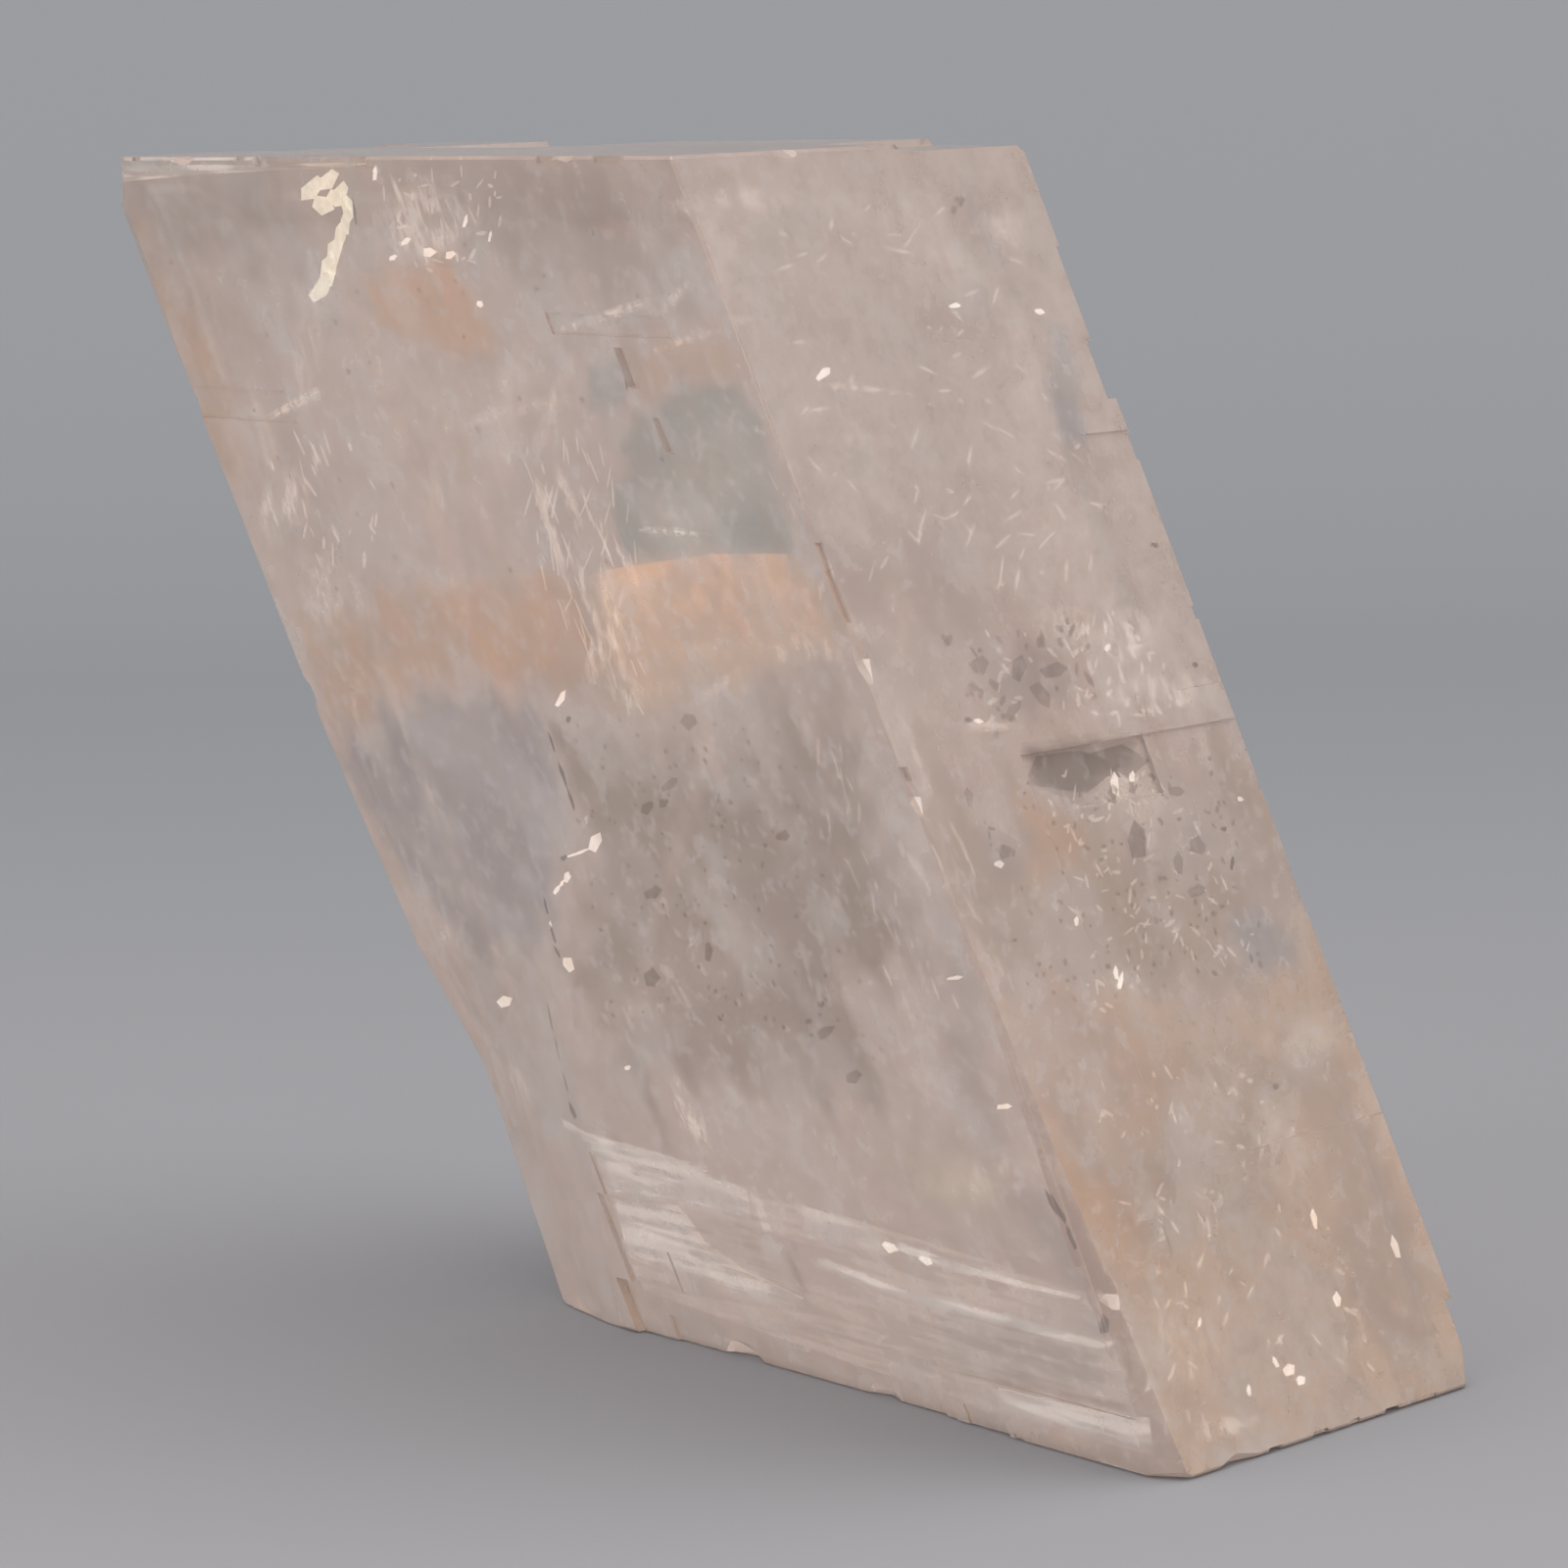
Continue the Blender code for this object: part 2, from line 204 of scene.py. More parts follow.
LEFT_ZONES = (
    # painted shade: darker at the top of the left face, which is turned slightly down
    (MAUVE, 0.6, 1.5, ((2.4, 59.5), (17.6, 59.8), (15.5, 55.5), (5.9, 55.6), (2.0, 56.5))),
    (ORANGE, 0.6, 1.2, ((1.7, 57.3), (3.4, 56.5), (2.7, 49.1), (2.2, 44.5), (-0.1, 43.9), (-1.0, 54.5))),
    (ORANGE, 0.75, 0.6, ((19.5, 54.6), (23.6, 55.1), (27.5, 54.9), (28.2, 53.5), (29.3, 51.5),
                         (27.8, 50.7), (24.2, 51.1), (19.2, 52.2))),
    (PALE_PINK, 0.6, 1.2, ((2.3, 44.0), (9.2, 44.3), (9.1, 42.4), (6.4, 41.0), (1.1, 40.4))),
    (ORANGE, 0.5, 0.8, ((39.3, 51.4), (45.9, 51.7), (46.3, 49.5), (42.2, 49.7), (38.3, 49.3))),
    (GREEN_GREY, 0.85, 0.3, ((41.3, 49.5), (45.5, 49.9), (46.6, 48.2), (46.2, 44.7), (45.5, 42.1),
                              (39.0, 42.2), (34.3, 41.0), (32.3, 42.0), (33.5, 44.5), (35.9, 46.0),
                              (35.0, 46.9), (38.5, 48.4))),
    (GREEN_GREY, 0.85, 0.3, ((35.4, 50.4), (38.4, 50.5), (37.3, 48.9), (34.2, 48.6))),
    # painted shade: darker at the top of the left face
    (MAUVE, 0.6, 1.2, ((28.5, 59.6), (44.0, 59.6), (47.0, 54.5), (46.0, 52.6), (34.0, 53.4), (29.5, 56.0))),
    (CENTRE_BROWN, 0.95, 2.0, ((23.5, 31.7), (44.2, 34.4), (44.9, 30.9), (42.7, 23.5), (33.1, 16.7),
                               (15.1, 13.3), (14.8, 19.2))),
    (LILAC, 0.9, 1.0, ((0.9, 29.8), (8.9, 32.0), (21.6, 33.7), (20.5, 30.5), (15.1, 24.1),
                        (13.5, 21.0), (4.2, 18.4), (0.9, 22.6))),
    (ORANGE, 0.8, 0.8, ((3.9, 36.1), (11.7, 38.6), (18.5, 39.5), (28.1, 40.2), (27.3, 37.7),
                        (24.6, 34.7), (15.6, 34.5), (1.4, 31.1), (1.1, 35.9))),
    (PALE_ORANGE, 0.9, 0.6, ((31.0, 40.6), (34.4, 41.2), (39.2, 41.9), (45.4, 42.3), (47.0, 40.8),
                             (47.0, 38.6), (38.0, 35.7), (28.0, 34.0), (24.8, 33.7), (28.1, 37.7))),
    (PEACH, 0.85, 0.15, ((4.0, 38.0), (11.7, 38.8), (18.5, 39.6), (28.3, 40.3), (28.3, 44.0), (4.0, 44.0))),
    (GREEN_GREY, 0.6, 0.15, ((31.5, 40.9), (34.4, 41.4), (39.2, 42.1), (45.6, 42.4), (45.6, 44.0),
                             (34.0, 43.0))),
    (PALE_PINK, 0.4, 1.2, ((44.0, 31.7), (49.5, 33.1), (47.8, 27.6), (46.1, 23.0), (41.9, 23.4),
                           (41.2, 26.9))),
    (OLIVE, 0.5, 1.5, ((36.1, 15.8), (43.9, 17.3), (43.9, 13.7), (39.0, 11.1), (34.0, 12.2))),
    (MAUVE, 0.7, 0.7, ((48.8, 33.0), (45.6, 22.0), (45.2, 17.1), (45.6, 13.3), (46.3, 9.1), (47.0, 5.2),
                       (45.3, 6.2), (45.2, 8.9), (42.7, 11.7), (41.4, 14.7), (43.2, 19.0), (45.4, 24.7))),
    (PALE_PINK, 0.5, 0.4, ((20.0, 14.9), (20.8, 14.6), (22.6, 11.3), (19.2, 11.3))),
    (PEACH, 0.6, 0.6, ((4.5, 14.8), (7.9, 11.0), (9.7, 10.5), (6.2, 1.8), (4.0, 0.9), (3.1, 2.8))),
    # The rows from here to the foot's last white row paint the broken foot: the white stripes are painted
    # highlights of steps lit from above, and the SHADE rows are painted shade between them.
    (WHITE_AND_HIGHLIGHT, 0.8, 0.2, ((7.5, 11.0), (10.0, 10.7), (14.6, 10.6), (19.4, 10.4), (19.1, 10.1),
                          (14.2, 10.1), (9.4, 10.2), (7.4, 10.6))),
    (WHITE_AND_HIGHLIGHT, 0.6, 0.35, ((10.5, 10.5), (22.0, 9.8), (21.2, 8.0), (15.9, 8.2), (10.1, 7.7))),
    (WHITE_AND_HIGHLIGHT, 0.65, 0.35, ((9.6, 7.2), (15.3, 7.8), (16.3, 6.1), (19.0, 5.0), (22.9, 4.3), (21.7, 3.7),
                            (14.5, 3.9), (8.8, 4.3))),
    (BROWN, 0.5, 0.2, ((9.4, 7.5), (15.8, 8.1), (20.8, 8.0), (20.6, 7.7), (15.5, 7.8), (9.3, 7.1))),
    (MAUVE, 0.45, 0.3, ((15.9, 7.6), (20.7, 7.9), (21.4, 5.6), (17.3, 5.7))),
    (WHITE_AND_HIGHLIGHT, 0.5, 0.25, ((22.1, 9.8), (22.7, 9.9), (22.6, 6.5), (21.8, 6.2))),
    (WHITE_AND_HIGHLIGHT, 0.55, 0.3, ((26.0, 9.6), (32.1, 8.9), (33.4, 8.3), (25.6, 7.8))),
    (WHITE_AND_HIGHLIGHT, 0.9, 0.15, ((32.8, 8.8), (37.5, 8.4), (41.5, 8.3), (45.3, 8.3), (45.0, 8.1), (41.2, 8.0),
                           (37.1, 8.0), (32.3, 8.3))),
    (WHITE_AND_HIGHLIGHT, 0.9, 0.15, ((26.0, 6.9), (31.2, 6.2), (35.9, 6.3), (40.4, 6.3), (45.8, 6.2), (45.4, 5.8),
                           (40.0, 5.8), (35.4, 5.7), (30.9, 5.8), (25.6, 6.6))),
    (SHADE, 0.6, 0.15, ((23.5, 7.6), (23.9, 7.5), (23.7, 4.9), (23.1, 4.9))),
    (GREEN_GREY, 0.45, 0.3, ((34.0, 5.5), (40.1, 5.7), (45.7, 5.7), (45.0, 3.5), (39.4, 3.3), (32.7, 2.5))),
    (SHADE, 0.5, 0.15, ((35.9, 2.9), (41.3, 3.1), (46.2, 3.3), (45.9, 2.9), (40.9, 2.6), (35.7, 2.5))),
    (WHITE_AND_HIGHLIGHT, 0.75, 0.2, ((36.3, 2.4), (41.0, 2.5), (46.3, 2.7), (45.7, 1.3), (41.0, 1.3), (36.1, 1.7))),
    (WHITE_AND_HIGHLIGHT, 0.4, 0.15, ((33.1, 52.8), (37.6, 52.7), (41.9, 52.9), (41.8, 52.6), (37.4, 52.4),
                           (33.0, 52.5))),
    (WHITE_AND_HIGHLIGHT, 0.4, 0.15, ((2.9, 46.9), (8.5, 47.9), (12.5, 48.3), (12.3, 48.0), (8.3, 47.6), (2.9, 46.6))),
    # painted highlight: the top edge, white where the light from above falls on the top face
    (WHITE_AND_HIGHLIGHT, 0.8, 0.15, ((-1.0, 59.1), (8.0, 59.5), (22.0, 59.8), (22.0, 61.0), (-1.0, 61.0))),
    (WHITE_AND_HIGHLIGHT, 0.35, 0.15, ((39.2, 51.8), (46.4, 52.0), (46.3, 51.7), (39.1, 51.5))),
)
RIGHT_ZONES = (
    # painted light: paler at the top of the right face, which is turned slightly up to the light
    (PALE_PINK, 0.7, 2.0, ((-0.5, 59.9), (22.3, 61.0), (24.0, 55.4), (24.0, 40.3), (20.0, 33.0),
                           (16.0, 40.0), (3.8, 42.2), (-1.8, 42.3), (-1.5, 53.9))),
    # painted highlight: paler above the open break, where the break shines with light from above
    (PALE_PINK, 0.7, 0.8, ((24.7, 51.3), (24.6, 43.0), (24.1, 35.4), (24.6, 32.3), (15.9, 32.3),
                           (12.3, 32.6), (17.3, 39.2), (18.5, 43.7))),
    (MAUVE, 0.55, 1.0, ((-1.0, 43.5), (8.4, 43.6), (9.5, 40.8), (8.4, 36.4), (1.9, 35.3), (-1.0, 38.7))),
    (MAUVE, 0.9, 0.8, ((7.5, 36.1), (12.9, 37.3), (12.9, 35.0), (10.8, 33.7), (7.2, 34.3))),
    (BLUE_GREY, 0.85, 0.4, ((19.6, 51.7), (21.0, 51.4), (20.3, 48.2), (20.0, 45.4), (18.7, 45.3),
                            (18.5, 47.4))),
    (BROWN, 0.9, 1.8, ((1.9, 31.8), (7.3, 29.8), (16.0, 29.2), (24.0, 30.5), (24.0, 24.0), (16.0, 20.7),
                       (5.6, 21.9), (-1.1, 21.6), (0.3, 27.6))),
    (MAUVE, 0.8, 0.4, ((12.0, 28.6), (14.2, 28.4), (13.8, 26.4), (12.4, 26.2))),
    (MAUVE, 0.8, 0.4, ((16.2, 28.0), (18.1, 27.8), (17.9, 26.2), (16.4, 26.2))),
    (MAUVE, 0.8, 0.4, ((3.0, 29.8), (5.0, 29.6), (5.2, 27.6), (3.4, 27.4))),
    (MAUVE, 0.6, 0.8, ((16.5, 57.8), (19.0, 57.6), (18.4, 54.5), (16.6, 54.6))),
    (MAUVE, 0.45, 1.5, ((11.5, 54.0), (15.0, 54.5), (15.6, 50.0), (12.4, 49.6))),
    (ORANGE, 0.7, 0.8, ((6.3, 30.4), (9.8, 29.5), (9.3, 27.2), (5.9, 27.2))),
    (PALE_ORANGE, 0.9, 1.2, ((-1.2, 21.0), (10.6, 21.1), (14.6, 18.2), (25.3, 24.8), (25.0, -1.0),
                             (-1.2, -1.0))),
    (PALE_PINK, 0.25, 1.8, ((10.0, 17.5), (17.1, 16.3), (15.1, 9.2), (9.1, 9.8), (6.6, 14.0))),
    (BLUE_GREY, 0.6, 0.7, ((17.3, 23.6), (19.4, 24.1), (21.0, 23.1), (20.8, 21.2), (18.9, 20.7),
                           (17.1, 21.3))),
    (ORANGE, 0.6, 2.0, ((-1.0, 21.0), (8.0, 20.0), (8.0, 13.0), (-1.0, 11.0))),
    (MAUVE, 0.5, 1.5, ((0.5, 21.0), (5.5, 21.0), (5.5, 17.0), (0.5, 17.0))),
    (PALE_PINK, 0.5, 1.5, ((5.5, 8.0), (12.0, 7.5), (12.0, 1.5), (5.5, 1.5))),
    (MAUVE, 0.55, 0.8, ((17.6, 17.0), (21.7, 16.1), (21.6, 12.0), (21.5, 6.1), (21.1, 2.5), (16.2, 2.1),
                        (16.8, 7.0), (16.9, 12.1))),
    # painted shade under the open break, where the break holds the light back
    (SHADE, 1.0, 0.3, ((7.9, 32.6), (15.8, 32.1), (14.8, 30.9), (12.6, 30.7), (11.6, 29.9), (9.4, 30.2),
                       (8.2, 31.0))),
    (LILAC, 0.6, 0.4, ((-0.6, 9.0), (0.6, 8.8), (1.1, 6.4), (-0.4, 5.2), (-1.6, 6.7))),
    (WHITE_AND_HIGHLIGHT, 0.6, 0.3, ((3.3, 0.9), (8.0, 0.7), (7.0, -0.5), (2.8, 0.1))),
    (WHITE_AND_HIGHLIGHT, 0.6, 0.15, ((19.2, 26.7), (21.7, 26.1), (21.5, 25.8), (19.1, 26.4))),
)
# The whole top face is painted white: a painted highlight where the light from above falls on it.
TOP_ZONES = (
    (WHITE_AND_HIGHLIGHT, 0.8, 0.5, ((-5.0, -5.0), (60.0, -5.0), (60.0, 30.0), (-5.0, 30.0))),
)
BACK_ZONES = (
    (ORANGE, 0.5, 1.5, ((6.0, 38.0), (22.0, 40.5), (22.0, 36.0), (6.0, 34.0))),
    (PALE_PINK, 0.6, 2.5, ((10.0, 16.0), (34.0, 15.0), (36.0, 4.0), (8.0, 5.0))),
    (MAUVE, 0.5, 3.0, ((26.0, 34.0), (44.0, 32.0), (42.0, 20.0), (24.0, 22.0))),
)
SIDE_ZONES = (
    (ORANGE, 0.5, 1.5, ((2.0, 55.0), (9.0, 56.0), (10.0, 44.0), (3.0, 42.0))),
    (PALE_PINK, 0.6, 2.0, ((4.0, 36.0), (20.0, 38.0), (18.0, 26.0), (6.0, 24.0))),
)
CLOUDS = (
    # colour, strength, size in millimetres, where the noise begins and ends, seed
    (PALE_PINK, 0.40, 6.0, 0.45, 0.80, 1), (MAUVE, 0.24, 4.0, 0.50, 0.85, 3),
    (WHITE_AND_HIGHLIGHT, 0.35, 2.2, 0.50, 0.85, 2), (BROWN, 0.32, 1.4, 0.55, 0.85, 4),
)
# how far outlines and clouds stray from their drawn shape, for each millimetre of their softness
OUTLINE_WANDER = 0.8
CLOUD_WANDER = 0.25
WANDER_SEED = 5
WAVES = (0.35, 0.8, 1.7, 3.1)
FULL_TURN = 6.28
CLOUD_CELLS = 80
# how nearly a face must point the way of an upright side, or of the top, to take its colours
UPRIGHT = 0.6
LEVEL = 0.8
RISER_START = 2.0
TINT_GRID = 0.5
FOOT_GRID = 0.25
FOOT_HEIGHT = 12.0
EDGE_LENGTHS = (47.4, 22.95, 60.0)
CUT_REACH = 1e-7
SAME_FACE = 0.98
FLECK_SIZE = 1.0
DARK_FLECK = rgb(0.58, 0.49, 0.43)
PALE_FLECK = rgb(1.0, 0.95, 0.92)
FACE_ROUGHNESS = 0.14
ROUGHNESS_SPREAD = 0.08


def cut_for_tint(mesh):
    """Cuts the four upright faces into a fine net along the three edges, to hold the tint."""
    back = EDGE_READINGS[1].normalized()
    right = EDGE_READINGS[0].normalized()
    for axis, sides in enumerate(((-back, back), (right, -right), (-back, back, right, -right))):
        mesh.normal_update()
        ahead = [
            face for face in mesh.faces
            if max(face.normal.dot(outward) for outward in sides) > SAME_FACE
        ]
        across = EDGE_READINGS[axis].normalized()
        reading = TINT_GRID
        while reading < EDGE_LENGTHS[axis]:
            place = (EDGE_DIRECTIONS.col[axis] * reading + BLUNT_FOOT) * MM
            edges = {edge for face in ahead for edge in face.edges}
            corners = {corner for face in ahead for corner in face.verts}
            cut = bmesh.ops.bisect_plane(
                mesh, geom=[*corners, *edges, *ahead], dist=CUT_REACH, plane_co=place, plane_no=across,
            )
            ahead = [
                part for part in cut["geom"]
                if isinstance(part, bmesh.types.BMFace)
                and max(across.dot(corner.co - place) for corner in part.verts) > CUT_REACH * 10.0
            ]
            reading += FOOT_GRID if axis == 2 and reading < FOOT_HEIGHT else TINT_GRID


def smooth_step(values, low, high):
    ratio = np.clip((values - low) / (high - low), 0.0, 1.0)
    return ratio * ratio * (3.0 - 2.0 * ratio)


def within(points, outline, soft):
    """1 well inside the outline, 0 well outside it, smooth across its edge."""
    corners = np.array(outline)
    nearest = np.full(len(points), 1e9)
    inside = np.zeros(len(points), bool)
    for start, end in zip(corners, np.roll(corners, -1, axis=0)):
        side = end - start
        offset = points - start
        share = np.clip(offset @ side / (side @ side), 0.0, 1.0)
        nearest = np.minimum(nearest, np.linalg.norm(offset - share[:, None] * side, axis=1))
        spans = (start[1] > points[:, 1]) != (end[1] > points[:, 1])
        height = side[1] if side[1] else 1e-9
        inside ^= spans & (offset[:, 0] < offset[:, 1] * side[0] / height)
    return smooth_step(np.where(inside, nearest, -nearest), -soft, soft)


def wandering(points, seed):
    """An uneven push of about 1 for each point, the same for close neighbours."""
    chance = np.random.default_rng(seed)
    push = np.zeros_like(points)
    for wave in WAVES:
        for axis in (0, 1):
            heading = chance.normal(size=2) * wave
            push[:, axis] += np.sin(points @ heading + chance.uniform(0.0, FULL_TURN)) / (1.0 + wave)
    return push


def cloudy(points, size, seed):
    """Smooth noise from 0 to 1 whose lumps are about one size across."""
    heights = np.random.default_rng(seed).random((CLOUD_CELLS, CLOUD_CELLS))
    cell = np.floor(points / size).astype(int)
    share = points / size - cell
    share = share * share * (3.0 - 2.0 * share)
    low, high = (
        heights[(cell[:, 0] + side) % CLOUD_CELLS, cell[:, 1] % CLOUD_CELLS] * (1.0 - share[:, 1])
        + heights[(cell[:, 0] + side) % CLOUD_CELLS, (cell[:, 1] + 1) % CLOUD_CELLS] * share[:, 1]
        for side in (0, 1)
    )
    return low + (high - low) * share[:, 0]


def tint_faces(mesh):
    """Gives each face corner the stain colour and the painted light and shade of its place on its face."""
    corner_count = len(mesh.loops)
    vertex = np.empty(corner_count, np.int32)
    mesh.loops.foreach_get("vertex_index", vertex)
    places = np.empty(len(mesh.vertices) * 3)
    mesh.vertices.foreach_get("co", places)
    readings = (places.reshape(-1, 3) / MM - np.array(BLUNT_FOOT)) @ np.array(EDGE_READINGS).T
    readings = readings[vertex]
    sizes = np.empty(len(mesh.polygons), np.int32)
    mesh.polygons.foreach_get("loop_total", sizes)
    normals = np.empty(len(mesh.polygons) * 3)
    mesh.polygons.foreach_get("normal", normals)
    outward = np.array([row.normalized() for row in EDGE_READINGS])
    facing = np.repeat(normals.reshape(-1, 3) @ outward.T, sizes, axis=0)
    tint = np.tile(np.array(PEACH), (corner_count, 1))
    tint[(facing[:, 1] > UPRIGHT) | (facing[:, 0] < -UPRIGHT)] = BACK_BASE
    for zones, axes, chosen in (
        (LEFT_ZONES, (0, 2), facing[:, 1] < -UPRIGHT),
        (RIGHT_ZONES, (1, 2), facing[:, 0] > UPRIGHT),
        (TOP_ZONES, (0, 1), facing[:, 2] > LEVEL),
        (BACK_ZONES, (0, 2), facing[:, 1] > UPRIGHT),
        (SIDE_ZONES, (1, 2), facing[:, 0] < -UPRIGHT),
    ):
        points = readings[chosen][:, axes]
        shades = tint[chosen]
        pushes = wandering(points, WANDER_SEED)
        for colour, strength, soft, outline in zones:
            amount = within(points + pushes * soft * OUTLINE_WANDER, outline, soft) * strength
            shades += (np.array(colour) - shades) * amount[:, None]
        for colour, strength, size, begin, end, seed in CLOUDS:
            clouds = cloudy(points + pushes * CLOUD_WANDER * size, size, seed)
            amount = smooth_step(clouds, begin, end) * strength
            shades += (np.array(colour) - shades) * amount[:, None]
        tint[chosen] = shades
    # Step faces of the foot that look the way of the side face are painted white: a painted highlight.
    inside_foot = (readings[:, 0] > RISER_START) & (readings[:, 2] < FOOT_HEIGHT)
    tint[(facing[:, 0] < -UPRIGHT) & inside_foot] = WHITE_AND_HIGHLIGHT
    layer = mesh.color_attributes.new("tint", "FLOAT_COLOR", "CORNER")
    layer.data.foreach_set("color", np.column_stack((tint, np.ones(corner_count))).ravel())


def crystal_finish():
    finish = Finish("clear_spar")
    place = finish.place()
    tint = finish.node("ShaderNodeAttribute", {"attribute_name": "tint"})
    flecks = finish.noise(place, FLECK_SIZE, detail=2.0, roughness=0.7, seed=2.7)
    colour = finish.mix(flecks.rise(0.5, 0.74) * 0.2, tint, DARK_FLECK)
    colour = finish.mix((1.0 - flecks).rise(0.52, 0.66) * 0.4, colour, PALE_FLECK)
    shader = finish.node("ShaderNodeBsdfPrincipled", {"distribution": "GGX"}, {
        "Base Color": colour, "Roughness": FACE_ROUGHNESS + flecks * ROUGHNESS_SPREAD,
        "IOR": CALCITE_IOR, "Transmission Weight": CLEARNESS,
    })
    volume = finish.node(
        "ShaderNodeVolumeAbsorption", None,
        {"Color": ABSORBED_TINT, "Density": ABSORPTION_DENSITY},
    )
    return finish.close(shader, volume)


def make_crystal():
    mesh = bmesh.new()
    mesh.from_mesh(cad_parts["spar_crystal"].data)
    bmesh.ops.remove_doubles(mesh, verts=mesh.verts, dist=MM * 0.001)
    surface = BVHTree.FromBMesh(mesh)
    cut_for_tint(mesh)
    data = mesh_data("spar_rhomb", mesh)
    tint_faces(data)
    data.materials.append(crystal_finish())
    return linked("spar_rhomb", data), surface


crystal, crystal_surface = make_crystal()
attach(crystal, "root")
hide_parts("spar_crystal")


# The glints and dark slits. Small broken plates of the crystal just under its left and right
# faces, which stay dark or flash white or pale yellow, and dark grains caught in the crystal.
# The flashing plates are painted highlights that glow with light of their own, and two large
# dark plates under the open break on the right face are painted shade.
# For each face they are given as place along it and up it, length, width and turn as it is seen.
FACES = {
    # what it is read along, what its depth is read along, whether that counts from the far end,
    # and how far a place in it seems moved for each millimetre of depth
    "left": (0, 1, False, (-0.337, 0.064)),
    "right": (1, 0, True, (0.238, -0.227)),
    "back": (0, 1, True, (0.0, 0.0)),
    "side": (1, 0, False, (0.0, 0.0)),
}
FACE_VIEW = {
    0: np.linalg.inv(np.array(((0.639, -0.362), (-0.181, 0.928)))),
    1: np.linalg.inv(np.array(((0.643, -0.362), (0.172, 0.928)))),
}
INNER_MARGIN = 0.3
OUTSIDE = 5.0
PLATE_DEPTH = 0.3
SLIT_DEPTH = 0.06
PLATE_THICKNESS = 0.03
PLATE_CORNERS = 5
PLATE_UNEVENNESS = 0.25
PLATE_TILT = 0.25
STREAK_SIZE = 0.5
GLINTS = (
    ("left", (
        (20.9, 26.7, 1.0, 0.65, 60), (17.3, 24.6, 0.55, 0.40, 60), (19.1, 26.0, 1.4, 0.16, 8),
        (15.9, 23.8, 0.70, 0.25, 40), (14.4, 19.9, 0.85, 0.60, 120), (5.9, 16.7, 1.0, 0.60, 10),
        (22.7, 33.9, 0.85, 0.38, 45), (24.1, 59.2, 0.66, 0.28, 80), (26.1, 55.5, 0.85, 0.38, -20),
        (27.7, 55.4, 0.66, 0.33, -10), (28.6, 53.1, 0.42, 0.28, -30), (32.3, 8.4, 0.85, 0.47, -30),
        (34.8, 8.2, 0.75, 0.38, -30), (24.5, 56.0, 0.57, 0.28, 10), (30.0, 57.0, 0.57, 0.24, 60),
        (31.5, 56.3, 0.47, 0.19, 70), (22.9, 55.2, 0.47, 0.24, 0), (16.6, 24.2, 0.40, 0.20, 40),
        (14.0, 21.8, 0.38, 0.19, 90), (16.1, 14.9, 0.38, 0.24, 0),
    )),
    ("right", (
        (4.3, 50.1, 0.85, 0.42, 50), (8.6, 22.2, 0.75, 0.24, 100), (8.7, 21.8, 0.94, 0.24, 80),
        (3.7, 27.9, 0.47, 0.38, 0), (15.4, 9.4, 1.04, 0.33, 100), (20.2, 7.1, 1.23, 0.38, 110),
        (14.9, 5.6, 0.75, 0.42, 100), (10.0, 3.2, 0.66, 0.57, 30), (10.5, 2.6, 0.52, 0.47, 30),
        (9.3, 3.7, 0.66, 0.24, 120), (13.3, 30.4, 1.23, 0.42, 100), (14.6, 30.6, 0.66, 0.28, 90),
    )),
    ("left", (
        (45.4, 23.0, 0.75, 0.19, 0), (45.4, 17.1, 0.75, 0.24, 0),
    )),
    ("right", (
        (14.3, 52.6, 0.57, 0.28, 20), (19.8, 52.0, 0.47, 0.33, 0), (15.9, 36.5, 0.47, 0.24, 60),
        (5.8, 34.2, 0.47, 0.24, 0), (21.2, 28.7, 0.38, 0.24, 0), (7.2, 24.8, 0.47, 0.24, 90),
        (5.4, 6.4, 0.47, 0.19, 80), (6.9, 2.9, 0.57, 0.24, 100),
    )),
)
FLASHES = (
    ("left", (
        (18.3, 58.5, 1.5, 0.9, 10), (20.0, 58.9, 1.2, 0.8, 10), (20.5, 58.2, 1.1, 0.9, 70),
        (20.6, 57.5, 1.3, 0.7, 95), (18.7, 57.7, 1.4, 0.8, -30), (19.7, 58.0, 1.0, 0.8, 30),
        (20.1, 56.9, 1.3, 0.6, 80), (19.1, 56.2, 1.5, 0.7, 68), (17.9, 55.3, 1.6, 0.9, 68),
        (16.8, 54.4, 1.6, 1.0, 68), (15.8, 53.7, 1.6, 1.0, 25),
    )),
)
DARK_SLITS = (
    ("left", (
        (37.85, 49.9, 1.0, 0.12, 95), (38.9, 47.2, 0.9, 0.15, 110), (20.4, 31.6, 1.1, 0.13, 108),
        (20.3, 30.0, 1.3, 0.20, 108), (20.2, 28.8, 1.3, 0.16, 108), (22.6, 32.9, 0.34, 0.30, 0),
        (17.6, 25.6, 0.36, 0.30, 0), (14.2, 22.8, 1.1, 0.13, 105), (13.9, 21.3, 1.1, 0.16, 110),
        (13.7, 20.4, 0.8, 0.14, 120), (10.5, 16.6, 1.5, 0.10, 100), (10.1, 15.0, 1.2, 0.09, 100),
        (9.7, 13.2, 1.2, 0.10, 105), (9.4, 11.7, 1.1, 0.28, 120), (21.1, 57.4, 1.3, 0.12, 95),
        (46.4, 7.1, 0.94, 0.33, 100), (46.3, 12.6, 1.89, 0.24, 120), (46.5, 11.2, 1.23, 0.20, 110),
    )),
    ("right", (
        (19.3, 27.5, 0.28, 0.28, 0), (21.5, 35.1, 0.33, 0.28, 0), (21.8, 40.8, 0.38, 0.28, 0),
        (16.3, 15.6, 0.33, 0.33, 0), (19.0, 25.9, 0.75, 0.20, 80), (5.2, 34.3, 0.38, 0.24, 0),
        (5.4, 10.1, 1.6, 0.10, 110),
    )),
)
